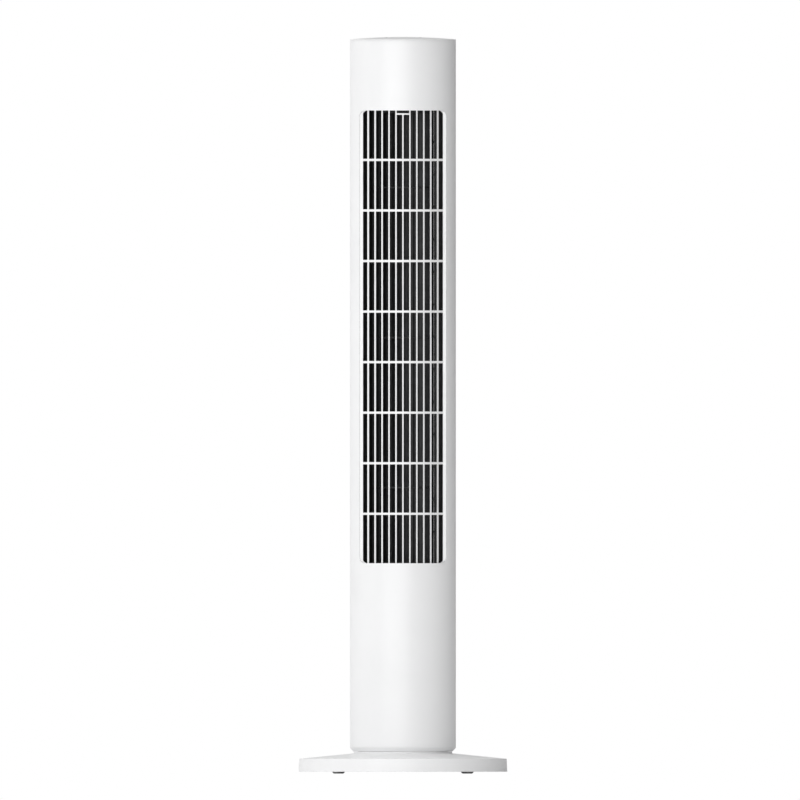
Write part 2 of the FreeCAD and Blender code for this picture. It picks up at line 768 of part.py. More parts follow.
def swing_motor():
    x, y = swing_can_centre()
    can = disc(swing_can_radius, z_tray, z_tray + swing_can_height, x, y)
    crown = [e for e in can.Edges if abs(e.BoundBox.ZMin - z_tray - swing_can_height) < 0.01]
    can = can.makeFillet(swing_can_rounding, crown)
    reach = swing_can_radius + swing_screw_reach + swing_ear_end
    ear = block(x - swing_ear_half, x + swing_ear_half, y - reach, y + reach,
                z_tray, z_tray + swing_ear_thickness)
    plug_reach, plug_width, plug_lift, plug_height = swing_plug
    plug = block(x - swing_can_radius - plug_reach, x - swing_can_radius + 2.0, y - plug_width / 2,
                 y + plug_width / 2, z_tray + plug_lift, z_tray + plug_lift + plug_height)
    body = joined(can, [ear, plug])
    holes = [disc(screw_shank + through_slack / 2, z_tray - 1, z_tray + 3, sx, sy)
             for sx, sy in swing_screw_places()]
    holes.append(disc(swing_shaft_radius + running_gap, z_tray - 1, z_tray + 2.5, pinion_x, pinion_y))
    return body.cut(group(holes))


def boss_blocks(y0, y1):
    """Screw bosses down both sides of a shell, each grown out of the casing's wall."""
    blocks = []
    for z in shell_screw_heights:
        for side in (-1, 1):
            x0, x1 = sorted((side * (shell_screw_x - boss_half), side * column_radius))
            blocks.append(block(x0, x1, y0, y1, z - boss_half - 1.0, z + boss_half + 1.0))
    return group(blocks).common(disc(shell_inner + column_wall / 2, z_shell, z_edge))


def shell_screw_holes():
    return [screw_hole(side * shell_screw_x, shell_screw_seat, z, V(0, -1, 0), shell_screw)
            for z in shell_screw_heights for side in (-1, 1)]


def casing_tube():
    return ring(column_radius, shell_inner, z_shell, z_shell_top)


def front_shell():
    tube = casing_tube()
    reach = column_radius + 10
    body = tube.cut(block(-reach, reach, shell_split_y, reach, 0, total_height + 10))
    window = rounded_window(window_half, window_bottom, window_top, window_corner, -reach, -10.0)
    body = body.cut(window)
    bosses = boss_blocks(shell_screw_seat - shell_screw - 4.0, shell_split_y)
    body = joined(body, bosses.Solids)
    return body.cut(group(shell_screw_holes()))


def rear_shell():
    tube = casing_tube()
    reach = column_radius + 10
    front = block(-reach, reach, -reach, shell_split_y + seam_gap, 0, total_height + 10)
    opening = rounded_window(intake_half, intake_z0, intake_z1, intake_corner, 10.0, reach)
    body = tube.cut(group([front, opening]))
    ledge = ring(shell_inner, shell_inner - ledge_wall, intake_z0 - ledge_band, intake_z1 + ledge_band)
    ledge_half = intake_half + ledge_side
    ledge = ledge.common(block(-ledge_half, ledge_half, ledge_front, reach, 0, total_height))
    inner = rounded_window(intake_half - intake_ledge, intake_z0 + intake_ledge, intake_z1 - intake_ledge,
                           intake_corner - 4.0, 10.0, reach)
    bosses = boss_blocks(shell_split_y + seam_gap, shell_screw_seat)
    body = joined(body, [ledge.cut(inner)] + bosses.Solids)
    pegs = [Part.makeCylinder(peg_radius + peg_slack, reach, V(x, shell_screw_seat, z), V(0, 1, 0))
            for x, z in peg_places()]
    posts = []
    for x, z in board_screw_places():
        depth = math.sqrt(shell_inner ** 2 - x ** 2) + column_wall / 2
        posts.append(Part.makeCylinder(board_post_radius, depth - board_y - board_thickness,
                                       V(x, board_y + board_thickness, z), V(0, 1, 0)))
    body = joined(body, posts)
    pilots = [screw_hole(x, board_y, z, V(0, 1, 0), short_screw) for x, z in board_screw_places()]
    return body.cut(group(pegs + pilots + shell_screw_holes()))


def shell_screws():
    return group(screw(side * shell_screw_x, shell_screw_seat, z, V(0, -1, 0), shell_screw)
                 for z in shell_screw_heights for side in (-1, 1))


# ---- grilles ----
def outlet_slots():
    """The openings between the front grille's bars, wider at the front than at the back."""
    y_front = -column_radius - 5.0
    y_back = -10.0
    taper = (upright_back - upright_front) / 2
    edge = bar_pitch * (upright_bars - 1) / 2
    centres = [-edge + bar_pitch * i for i in range(upright_bars)]
    sides = [-outlet_half - upright_front / 2] + centres + [outlet_half + upright_front / 2]
    y_taper = -(grille_front - grille_depth) * math.cos(math.radians(outlet_half_angle))
    middle = (upright_bars - 1) // 2

    def cell(left, right, z0, z1):
        x0 = left + upright_front / 2
        x1 = right - upright_front / 2
        points = [(x0, y_front), (x1, y_front), (x1 - taper, y_taper), (x1 - taper, y_back),
                  (x0 + taper, y_back), (x0 + taper, y_taper)]
        outline = Part.makePolygon([V(x, y, z0) for x, y in points + points[:1]])
        return Part.Face(outline).extrude(V(0, 0, z1 - z0))

    cells = []
    for row in range(grille_rows):
        z0 = window_bottom + row * row_pitch
        z1 = z0 + row_pitch - cross_bar
        for i, (left, right) in enumerate(zip(sides, sides[1:])):
            beside_middle = row == grille_rows - 1 and i in (middle, middle + 1)
            cells.append(cell(left, right, z0, z1 - top_notch - notch_bar if beside_middle else z1))
    cells.append(cell(sides[middle], sides[middle + 2], window_top - top_notch, window_top))
    outline = rounded_window(outlet_half, window_bottom, window_top, slot_corner, y_front - 1, y_back + 1)
    return group(cells).common(outline)


def front_grille():
    inner = grille_front - grille_depth
    reach = column_radius + 10
    behind = shell_inner - fit_gap
    strip_y = -math.sqrt(column_radius ** 2 - window_half ** 2) + strip_recess
    panel = ring(grille_front, inner, grille_bottom, grille_top)
    panel = panel.common(block(-outlet_half - 1.0, outlet_half + 1.0, -reach, 0, 0, total_height))
    strips = []
    for side in (-1, 1):
        x0, x1 = sorted((side * (outlet_half - fit_gap), side * (window_half - fit_gap)))
        strips.append(block(x0, x1, strip_y, strip_y + strip_thickness, grille_bottom, grille_top))
    visible = rounded_window(window_half - fit_gap, window_bottom + fit_gap, window_top - fit_gap,
                             window_corner - fit_gap, -reach, -5.0)
    hidden = disc(behind, grille_bottom - 1, grille_top + 1)
    strips = group(strips).common(visible.fuse(hidden))
    flange = ring(behind, behind - grille_flange, grille_bottom, grille_top)
    flange_half = column_radius * math.sin(math.radians(window_half_angle + grille_flange_angle))
    flange = flange.common(block(-flange_half, flange_half, -reach, 0, 0, total_height))
    flange = flange.cut(block(-outlet_half - 0.5, outlet_half + 0.5, -reach, 0, 0, total_height))
    body = joined(panel, strips.Solids + flange.Solids)
    return body.cut(outlet_slots())


def peg_places():
    x = intake_half - intake_ledge / 2
    heights = (intake_z0 + peg_margin, (intake_z0 + intake_z1) / 2, intake_z1 - peg_margin)
    return [(side * x, z) for side in (-1, 1) for z in heights]


def rear_grille():
    inner = shell_inner + rear_wall_gap
    reach = column_radius + 10
    body = ring(column_radius, inner, intake_z0 - 1, intake_z1 + 1)
    outline = rounded_window(intake_half - intake_gap, intake_z0 + intake_gap, intake_z1 - intake_gap,
                             intake_corner - intake_gap, 10.0, reach)
    body = body.common(outline)
    border_z0 = intake_z0 + intake_ledge + intake_border
    border_z1 = intake_z1 - intake_ledge - intake_border
    pitch = intake_slot_angle + intake_bar_angle
    clear_angle = math.degrees(math.asin((intake_half - intake_ledge - intake_border) / column_radius))
    columns = 2 * int(clear_angle / pitch)
    step = (border_z1 - border_z0 + intake_bar) / intake_rows
    slots = []
    for i in range(columns):
        middle = 90.0 + (i - (columns - 1) / 2) * pitch
        for row in range(intake_rows):
            z0 = border_z0 + row * step
            z1 = z0 + step - intake_bar
            slots.append(sector(column_radius + 2, inner - 2, middle, intake_slot_angle / 2, z0, z1))
    pegs = []
    for x, z in peg_places():
        root_y = math.sqrt(column_radius ** 2 - x ** 2) - peg_sink
        pegs.append(Part.makeCylinder(peg_radius, peg_length, V(x, root_y - peg_length, z), V(0, 1, 0)))
    return joined(body.cut(group(slots)), pegs)


# ---- air duct and wheel ----
def duct_point(angle, radius):
    x, y = polar(radius, angle)
    return V(x, wheel_offset + y, 0)


def volute_wall():
    """The scroll behind the wheel: close to it at the intake, opening towards the outlet's left edge."""
    start_radius = wheel_radius + duct_clearance
    inner = grille_front - grille_depth
    end = V(-duct_end, -math.sqrt(inner ** 2 - duct_end ** 2) + duct_end_set_back, 0)
    from_wheel = end - V(0, wheel_offset, 0)
    end_angle = math.degrees(math.atan2(from_wheel.y, from_wheel.x)) % 360.0
    end_radius = from_wheel.Length
    growth = math.log(end_radius / start_radius) / (end_angle - volute_start)
    angles = [volute_start + (end_angle - volute_start) * i / 7 for i in range(8)]
    radii = [start_radius * math.exp(growth * (a - volute_start)) for a in angles]
    inside = [duct_point(a, r) for a, r in zip(angles, radii)]
    outside = [duct_point(a, r + duct_wall) for a, r in zip(angles, radii)]
    edges = []
    for points in (inside, list(reversed(outside))):
        curve = Part.BSplineCurve()
        curve.interpolate(points)
        edges.append(curve.toShape())
    edges.insert(1, Part.LineSegment(inside[-1], outside[-1]).toShape())
    edges.append(Part.LineSegment(outside[0], inside[0]).toShape())
    scroll = Part.Face(Part.Wire(edges)).extrude(V(0, 0, duct_z1 - duct_z0))
    lip_start = inside[0]
    lip_end = V(*polar(shell_inner - ledge_wall - 1.5, volute_start - 1.0), 0)
    along = (lip_end - lip_start).normalize()
    across = V(-along.y, along.x, 0) * duct_wall
    corners = [lip_start, lip_end, lip_end - across, lip_start - across, lip_start]
    lip = Part.Face(Part.makePolygon(corners)).extrude(V(0, 0, duct_z1 - duct_z0))
    body = scroll.fuse(lip).removeSplitter()
    body.translate(V(0, 0, duct_z0))
    return body.common(disc(shell_inner - fit_gap, duct_z0, duct_z1))


def duct_tongue():
    """The cut-off beside the wheel, from the outlet's right edge back to the intake."""
    inner = grille_front - grille_depth
    start = V(duct_end, -math.sqrt(inner ** 2 - duct_end ** 2) + duct_end_set_back, 0)
    nose = duct_point(tongue_nose, wheel_radius + duct_clearance + duct_wall)
    back = duct_point(tongue_back, wheel_radius + duct_clearance + tongue_back_room)
    walls = []
    for a, b in ((start, nose), (nose, back)):
        along = (b - a).normalize()
        across = V(along.y, -along.x, 0) * duct_wall
        face = Part.Face(Part.makePolygon([a, b, b + across, a + across, a]))
        walls.append(face.extrude(V(0, 0, duct_z1 - duct_z0)))
    roll = Part.makeCylinder(duct_wall, duct_z1 - duct_z0, nose)
    body = joined(walls[0], [walls[1], roll])
    body.translate(V(0, 0, duct_z0))
    return body.common(disc(shell_inner - fit_gap, duct_z0, duct_z1))


def bulkhead(z0):
    """A partition across the casing, let in around the rear shell's ledge."""
    reach = column_radius + 10
    body = disc(shell_inner - fit_gap, z0, z0 + bulkhead_thickness)
    below, above = z0 - 1, z0 + bulkhead_thickness + 1
    rear = block(-reach, reach, ledge_front - fit_gap, reach, below, above)
    body = body.cut(ring(reach, shell_inner - ledge_wall - fit_gap, below, above).common(rear))
    return body.cut(disc(lead_radius + lead_room, below, above, lead_x, lead_y))


def post_places():
    return [(x, wheel_offset + y) for x, y in (polar(post_circle, 45.0 + 90.0 * i) for i in range(4))]


def lower_bulkhead():
    z0 = duct_z0 - bulkhead_thickness
    body = bulkhead(z0)
    posts = [disc(post_radius, bracket_z + bracket_thickness, z0 + 1.0, x, y) for x, y in post_places()]
    body = joined(body, posts)
    holes = [disc(hub_outer + 5.0, z0 - 1, z0 + bulkhead_thickness + 1, 0, wheel_offset)]
    holes += [screw_hole(x, y, bracket_z, up, short_screw + 1.5) for x, y in post_places()]
    return body.cut(group(holes))


def upper_bulkhead():
    body = bulkhead(duct_z1)
    cup = disc(bearing_seat_radius + cup_wall, duct_z1, duct_z1 + cup_height, 0, wheel_offset)
    body = body.fuse(cup).removeSplitter()
    seat = disc(bearing_seat_radius, duct_z1 - 1, duct_z1 + bearing_height, 0, wheel_offset)
    vent = disc(axle_radius + cup_wall, duct_z1, duct_z1 + cup_height + 1, 0, wheel_offset)
    return body.cut(group([seat, vent]))


def bearing_seat():
    z0, z1 = duct_z1 - bearing_drop, duct_z1 + bearing_height
    return ring(bearing_seat_radius, bearing_radius, z0, z1, 0, wheel_offset)


def upper_bearing():
    z0, z1 = duct_z1 - bearing_drop, duct_z1 + bearing_height
    return ring(bearing_radius, axle_radius + running_gap, z0, z1, 0, wheel_offset)


def wheel_blade(z0, z1):
    """One forward-curved blade: a strip of even thickness along an arc."""
    root = V(wheel_radius - blade_depth + 0.6, 0, 0)
    tip = V(*polar(wheel_radius - 0.5, blade_sweep), 0)
    chord = tip - root
    across = V(-chord.y, chord.x, 0).normalize()
    half = chord.Length / 2
    curve_radius = (half ** 2 + blade_bow ** 2) / (2 * blade_bow)
    middle = (root + tip) * 0.5
    centre = middle + across * (curve_radius - blade_bow)
    edges = []
    ends = []
    for offset in (blade_thickness / 2, -blade_thickness / 2):
        scale = (curve_radius + offset) / curve_radius
        a = centre + (root - centre) * scale
        b = centre + (middle - across * blade_bow - centre) * scale
        c = centre + (tip - centre) * scale
        edges.append(Part.Arc(a, b, c).toShape())
        ends.append((a, c))
    edges.insert(1, Part.LineSegment(ends[0][1], ends[1][1]).toShape())
    edges.append(Part.LineSegment(ends[1][0], ends[0][0]).toShape())
    blade = Part.Face(Part.Wire(Part.__sortEdges__(edges))).extrude(V(0, 0, z1 - z0))
    blade.translate(V(0, 0, z0))
    return blade


def wheel_segment():
    """One moulded length of the wheel, standing on z = 0 about the Z axis."""
    blade = wheel_blade(0.0, segment_pitch - wheel_ring / 2)
    band = ring(wheel_radius, wheel_radius - blade_depth, segment_pitch - wheel_ring, segment_pitch)
    return joined(band, around(blade, blade_count))


def impeller_bottom_plate():
    body = disc(wheel_radius, wheel_z0, wheel_z0 + wheel_plate, 0, wheel_offset)
    return body.cut(disc(hub_outer - hub_neck, wheel_z0 - 1, wheel_z0 + wheel_plate + 1, 0, wheel_offset))


def impeller_top_plate():
    z0 = wheel_z1 - wheel_plate
    body = disc(wheel_radius, z0, wheel_z1, 0, wheel_offset)
    boss = disc(axle_radius + plate_boss, z0, wheel_z1 + plate_boss_rise, 0, wheel_offset)
    return body.fuse(boss).removeSplitter().cut(disc(axle_radius, z0 + 1.0, wheel_z1 + 4, 0, wheel_offset))


def impeller_axle():
    return disc(axle_radius, wheel_z1 - wheel_plate + 1.0, duct_z1 + bearing_height - 1.0, 0, wheel_offset)


def impeller_hub():
    z0 = wheel_z0 - hub_length
    body = disc(hub_outer, z0, wheel_z0, 0, wheel_offset)
    neck = disc(hub_outer - hub_neck, wheel_z0, wheel_z0 + wheel_plate, 0, wheel_offset)
    bore = disc(motor_shaft_radius, z0 - 1, wheel_z0 + 10, 0, wheel_offset)
    return body.fuse(neck).removeSplitter().cut(bore)


# ---- fan motor ----
def motor_screw_places():
    radius = motor_radius - motor_screw_inset
    return [(x, wheel_offset + y) for x, y in (polar(radius, 90.0 * i) for i in range(4))]


def motor_bracket():
    z0, z1 = bracket_z, bracket_z + bracket_thickness
    body = disc(motor_radius + bracket_rim, z0, z1, 0, wheel_offset)
    arms = [disc(rubber_radius + bracket_eye, z0, z1, x, y) for x, y in post_places()]
    arm = block(0, post_circle, -bracket_arm / 2, bracket_arm / 2, z0, z1)
    arms += [turned_arm.translated(V(0, wheel_offset, 0)) for turned_arm in around(arm, 4, 45.0)]
    body = joined(body, arms)
    holes = [disc(rubber_radius - rubber_wall, z0 - 1, z1 + 1, x, y) for x, y in post_places()]
    holes += [disc(screw_shank + through_slack, z0 - 1, z1 + 1, x, y) for x, y in motor_screw_places()]
    holes.append(disc(bracket_bore, z0 - 1, z1 + 1, 0, wheel_offset))
    return body.cut(group(holes))


def mount_rubbers():
    """Grommets that wrap the bracket's eyes, one on each post."""
    rubbers = []
    for x, y in post_places():
        z0, z1 = bracket_z, bracket_z + bracket_thickness
        inside = disc(rubber_radius - rubber_wall, z0, z1, x, y)
        lower = disc(rubber_radius, z0 - rubber_wall, z0, x, y)
        body = lower.fuse(inside).removeSplitter()
        rubbers.append(body.cut(disc(screw_shank + through_slack, z0 - rubber_wall - 1, z1 + 1, x, y)))
    return group(rubbers)


def motor_case():
    """The lower, deeper half of the motor's can."""
    can = disc(motor_radius, motor_bottom, motor_split, 0, wheel_offset)
    can = can.makeFillet(case_rounding, [e for e in can.Edges if e.BoundBox.ZMax < motor_bottom + 0.01])
    hollow = disc(motor_radius - motor_wall, motor_bottom + motor_wall, motor_split + 1, 0, wheel_offset)
    seat = motor_shaft_radius + motor_bearing_wall
    cup = disc(seat + motor_cup_wall, motor_bottom + motor_wall, motor_bottom + cup_height, 0, wheel_offset)
    hole = disc(seat, motor_bottom + motor_wall, motor_bottom + cup_height + 1, 0, wheel_offset)
    return can.cut(hollow).fuse(cup).removeSplitter().cut(hole)


def motor_end_cap():
    can = disc(motor_radius, motor_split, motor_top, 0, wheel_offset)
    hollow = disc(motor_radius - motor_wall, motor_split - 1, motor_top - cap_roof, 0, wheel_offset)
    seat = motor_shaft_radius + motor_bearing_wall
    cup = disc(seat + motor_cup_wall, motor_top - cup_height, motor_top - cap_roof / 2, 0, wheel_offset)
    hole = disc(seat, motor_top - cup_height - 1, motor_top + 1, 0, wheel_offset)
    holes = [screw_hole(x, y, bracket_z + 1, V(0, 0, -1), short_screw - 1) for x, y in motor_screw_places()]
    return can.cut(hollow).fuse(cup).removeSplitter().cut(group([hole] + holes))


def rotor_span():
    middle = (motor_top + motor_bottom) / 2 - 1.0
    return middle - rotor_height / 2, middle + rotor_height / 2


def motor_stator():
    z0, z1 = rotor_span()
    outer = motor_radius - motor_wall
    inner = rotor_radius + air_gap
    yoke = ring(outer, outer - yoke_wall, z0 + 3, z1 - 3)
    tooth = block(inner, outer - yoke_wall / 2, -tooth_width / 2, tooth_width / 2, z0 + 3, z1 - 3)
    tooth = tooth.cut(disc(inner, z0, z1))
    body = joined(yoke, around(tooth, stator_poles))
    coils = []
    coil = block(inner + 2.0, outer - yoke_wall - 0.6, -coil_width / 2, coil_width / 2, z0 + 1, z1 - 1)
    coil = coil.cut(block(0, outer, -tooth_width / 2 - 0.1, tooth_width / 2 + 0.1, z0 + 2.9, z1 - 2.9))
    for shape in [body] + around(coil, stator_poles):
        shape.translate(V(0, wheel_offset, 0))
        coils.append(shape)
    return group(coils)


def motor_bearings():
    outer = motor_shaft_radius + motor_bearing_wall
    bore = motor_shaft_radius + running_gap
    low_z = motor_bottom + motor_wall
    high_z = motor_top - cup_height
    return group(ring(outer, bore, z, z + bearing_height, 0, wheel_offset) for z in (low_z, high_z))


def motor_rotor():
    z0, z1 = rotor_span()
    return ring(rotor_radius, motor_shaft_radius, z0, z1, 0, wheel_offset)


def motor_shaft():
    z0 = motor_bottom + motor_wall + shaft_end_gap
    return disc(motor_shaft_radius, z0, wheel_z0 + wheel_plate + shaft_end_rise, 0, wheel_offset)


# ---- electronics ----
def board_screw_places():
    x = board_half - board_screw_inset
    heights = (board_bottom + board_screw_inset, board_top - board_screw_inset)
    return [(side * x, z) for side in (-1, 1) for z in heights]


def main_board():
    y0 = board_y
    body = block(-board_half, board_half, y0, y0 + board_thickness, board_bottom, board_top)
    holes = [Part.makeCylinder(screw_shank + through_slack, 10, V(x, y0 - 4, z), V(0, 1, 0))
             for x, z in board_screw_places()]
    return body.cut(group(holes))


def board_components():
    """Transformer, smoothing capacitors, connectors and heat sink, all on the board's front face."""
    y1 = board_y

    def on_board(x0, x1, deep, low, high, near=0.0):
        """A block on the board's front; low and high are shares of the board's height."""
        z0, z1 = board_bottom + low * board_height, board_bottom + high * board_height
        return block(x0, x1, y1 - deep, y1 - near, z0, z1)

    core = on_board(-12, 12, 20, 0.22, 0.38)
    coil = on_board(-8, 8, 24, 0.235, 0.365, near=20)
    cap_radius = 0.044 * board_height
    caps = []
    for x, share in ((24.0, 0.25), (24.0, 0.37), (-26.0, 0.31)):
        z = board_bottom + share * board_height
        cap = Part.makeCylinder(cap_radius, 24.0, V(x, y1 - 24.0, z), V(0, 1, 0))
        caps.append(cap.makeFillet(0.8, [e for e in cap.Edges if e.BoundBox.YMax < y1 - 23.9]))
    fins = [on_board(-36, -30, 20 - 5 * i, 0.47, 0.72, near=18.5 - 5 * i) for i in range(4)]
    sink = joined(on_board(-30, -27, 22, 0.47, 0.72), fins)
    sockets = [block(x, x + socket_width, y1 - socket_depth, y1, board_socket_z - 4.0, board_socket_z + 4.0)
               for x in (-12.0, 6.0, 24.0)]
    chips = [on_board(-4, 8, 1.6, 0.54, 0.63), on_board(16, 24, 2.2, 0.51, 0.59)]
    return group([core.fuse(coil).removeSplitter(), sink] + caps + sockets + chips)


def display_lead():
    """The ribbon lead from the main board up the duct's side to the control board."""
    z0 = board_socket_z
    top = control_z - 22.0
    socket_y = lead_y + control_socket_step
    socket_z = control_z - board_thickness - control_socket_height
    return lead([(30.0, board_y - socket_depth, z0), (30.0, board_y - 26.0, z0),
                 (46.0, board_y - 42.0, z0 + 6.0), (lead_x, lead_y, z0 + 30.0),
                 (lead_x, lead_y, top - 24.0), (lead_x - 14.0, socket_y, top),
                 (control_socket_x, socket_y, top), (control_socket_x, socket_y, socket_z)], lead_radius)


def motor_lead():
    z0 = board_socket_z
    low = motor_bottom + 14.0
    return lead([(-6.0, board_y - socket_depth, z0), (-6.0, board_y - 20.0, z0),
                 (-20.0, board_y - 29.0, z0 + 6.0), (-40.0, wheel_offset + 3.0, z0 + 22.0),
                 (-motor_radius - 14.0, wheel_offset, low - 10.0), (-motor_radius - 10.0, wheel_offset, low),
                 (-motor_radius, wheel_offset, low)], lead_radius)


def key_places():
    return [polar(key_circle, 45.0 + 360.0 * i / key_count) for i in range(key_count)]


def control_screw_places():
    return [polar(control_board_radius - control_screw_inset, a) for a in (30.0, 150.0, 270.0)]


def control_board():
    under = control_z - board_thickness
    body = disc(control_board_radius, under, control_z)
    holes = [disc(screw_shank + through_slack, under - 5, control_z + 5, x, y)
             for x, y in control_screw_places()]
    half_x, half_y = control_socket_half
    socket_y = lead_y + control_socket_step
    socket = block(control_socket_x - half_x, control_socket_x + half_x,
                   socket_y - half_y, socket_y + half_y, under - control_socket_height, under)
    return body.cut(group(holes)).fuse(socket).removeSplitter()


def digit_display():
    top = dome_under(lens_half_width) - display_drop
    half_x, half_y = lens_half_width - display_margin, lens_half_depth - display_margin
    return rounded_plate(half_x, half_y, display_corner, control_z, top)


def touch_springs():
    """Contact springs that touch the underside of the panel at each key."""
    springs = []
    for x, y in key_places():
        foot = control_z + key_spring_wire + 0.05
        top = dome_height(key_circle + key_spring_radius) - panel_thickness - key_spring_wire - 0.1
        helix = Part.makeHelix((top - foot) / key_spring_turns, top - foot, key_spring_radius)
        section = Part.Wire(Part.Circle(V(key_spring_radius, 0, 0), V(0, 1, 0), key_spring_wire).toShape())
        coil = Part.Wire(helix.Edges).makePipeShell([section], True, True)
        coil.translate(V(x, y, foot))
        springs.append(coil)
    return group(springs)


def short_screws():
    """The column's small screws: swing motor, motor bracket, motor, main board and control board."""
    down = V(0, 0, -1)
    screws = [screw(x, y, z_tray + swing_ear_thickness, down, swing_screw) for x, y in swing_screw_places()]
    screws += [screw(x, y, bracket_z - rubber_wall, up, short_screw) for x, y in post_places()]
    screws += [screw(x, y, bracket_z + bracket_thickness, down, short_screw)
               for x, y in motor_screw_places()]
    screws += [screw(x, board_y, z, V(0, 1, 0), short_screw) for x, z in board_screw_places()]
    screws += [screw(x, y, control_z - board_thickness, up, short_screw) for x, y in control_screw_places()]
    return group(screws)


# ---- top ----
def dome_height(r):
    return total_height - dome_sphere + math.sqrt(dome_sphere ** 2 - r ** 2)


def dome_under(r):
    return dome_height(r) - cap_wall


def dome(z0, lowered):
    """A thick lens: the column's circle from z0 up to the dome's surface, lowered by some depth."""
    sphere = Part.makeSphere(dome_sphere, V(0, 0, total_height - dome_sphere - lowered))
    return disc(column_radius, z0, total_height + 5).common(sphere)


def top_cap():
    skirt_inner = skirt_outer - skirt_wall
    hollow = dome(z_cap - 20, cap_wall).common(disc(skirt_inner, z_cap - 20, total_height))
    body = dome(z_cap, 0).cut(hollow)
    skirt = ring(skirt_outer, skirt_inner, z_cap - skirt_height, z_cap + 0.5)
    posts = [disc(control_post_radius, control_z, dome_under(math.hypot(x, y)) + cap_wall / 3, x, y)
             for x, y in control_screw_places()]
    body = joined(body, [skirt] + posts)
    recess = disc(panel_radius + panel_gap, total_height - dome_sphere, total_height + 5)
    recess = recess.cut(Part.makeSphere(dome_sphere, V(0, 0, total_height - dome_sphere - panel_thickness)))
    through = rounded_plate(lens_half_width, lens_half_depth, lens_corner, z_edge - 10, total_height + 5)
    springs = [disc(key_spring_radius + key_hole_slack, z_edge - 8, total_height + 5, x, y)
               for x, y in key_places()]
    holes = [screw_hole(x, y, control_z - 1, up, short_screw - 0.5) for x, y in control_screw_places()]
    return body.cut(group([recess, through] + springs + holes))


def touch_panel():
    body = disc(panel_radius, z_edge - 5, total_height + 5)
    body = body.common(Part.makeSphere(dome_sphere, V(0, 0, total_height - dome_sphere)))
    body = body.cut(Part.makeSphere(dome_sphere, V(0, 0, total_height - dome_sphere - panel_thickness)))
    half_x, half_y = lens_half_width + panel_gap, lens_half_depth + panel_gap
    return body.cut(rounded_plate(half_x, half_y, lens_corner + panel_gap, z_edge - 10, total_height + 5))


def display_lens():
    body = rounded_plate(lens_half_width, lens_half_depth, lens_corner, z_edge - 10, total_height + 5)
    centre_z = total_height - dome_sphere
    body = body.common(Part.makeSphere(dome_sphere, V(0, 0, centre_z)))
    return body.cut(Part.makeSphere(dome_sphere, V(0, 0, centre_z - lens_thickness)))


# ---- write every sub-part ----
nodes = {
    make.__name__: make for make in (
        base_shell, base_cover, ballast_plate, foot_pads, base_screws, cable_gland, pivot_tube, pivot_screws,
        pivot_nut, swing_ring_gear, ring_gear_screws, lower_race, ball_cage, bearing_balls, swing_pinion,
        swing_motor_shaft, bottom_tray, pivot_bush, upper_race, swing_motor, front_shell, rear_shell,
        shell_screws, front_grille, rear_grille, volute_wall, duct_tongue, lower_bulkhead, upper_bulkhead,
        bearing_seat, upper_bearing, impeller_bottom_plate, impeller_top_plate, impeller_axle, impeller_hub,
        motor_bracket, mount_rubbers, motor_case, motor_end_cap, motor_stator, motor_bearings, motor_rotor,
        motor_shaft, main_board, board_components, display_lead, motor_lead, control_board, digit_display,
        touch_springs, short_screws, top_cap, touch_panel, display_lens,
    )
}
os.makedirs("parts", exist_ok=True)
shapes = {name: make() for name, make in nodes.items()}
one_segment = wheel_segment()
for number in range(wheel_segments):
    at = V(0, wheel_offset, wheel_z0 + wheel_plate + number * segment_pitch)
    shapes["impeller_segment_%d" % (number + 1)] = one_segment.translated(at)
for name, shape in shapes.items():
    shape.exportStep("parts/%s.step" % name)
print(len(shapes), "nodes; ring teeth", ring_teeth, "pinion teeth", pinion_teeth)
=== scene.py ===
import json
import math

import bmesh
import bpy
from mathutils import Matrix, Vector


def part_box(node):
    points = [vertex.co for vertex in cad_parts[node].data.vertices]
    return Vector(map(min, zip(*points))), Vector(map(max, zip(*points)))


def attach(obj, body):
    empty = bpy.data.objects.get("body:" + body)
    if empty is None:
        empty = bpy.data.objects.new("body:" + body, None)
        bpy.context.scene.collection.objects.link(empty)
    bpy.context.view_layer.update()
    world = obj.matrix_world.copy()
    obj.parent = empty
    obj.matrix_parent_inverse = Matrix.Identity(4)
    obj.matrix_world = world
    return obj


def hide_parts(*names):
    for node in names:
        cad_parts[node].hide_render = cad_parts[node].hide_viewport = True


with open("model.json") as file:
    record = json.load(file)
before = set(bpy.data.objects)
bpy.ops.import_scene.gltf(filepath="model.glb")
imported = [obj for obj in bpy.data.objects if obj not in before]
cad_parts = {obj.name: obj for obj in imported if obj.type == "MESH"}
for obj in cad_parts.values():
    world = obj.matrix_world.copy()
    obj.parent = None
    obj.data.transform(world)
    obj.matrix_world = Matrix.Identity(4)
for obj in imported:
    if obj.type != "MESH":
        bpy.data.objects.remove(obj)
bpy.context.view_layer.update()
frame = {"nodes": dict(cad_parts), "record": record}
nodes = frame["nodes"]
scene = bpy.context.scene
slotOf = {part["node"]: part["material_slot"] for part in frame["record"]["subparts"]}
print("frame loaded:", len(nodes), "nodes")

# places that several pieces share, in metres, read off the frame
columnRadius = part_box("bottom_tray")[1].x
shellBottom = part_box("front_shell")[0].z
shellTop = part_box("front_shell")[1].z
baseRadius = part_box("base_shell")[1].x
capBottom = shellTop + 0.0002
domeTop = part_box("display_lens")[1].z
facets = 240            # round the column
grilleOverlap = 0.008   # the front grille runs this far behind the casing, above and below
windowMargin = 0.012    # the intake is this much taller than the outlet, at each end
cutStart = 0.01         # blocks that cut the windows start this far from the axis
cutReach = columnRadius + 0.02      # and end here, outside the column

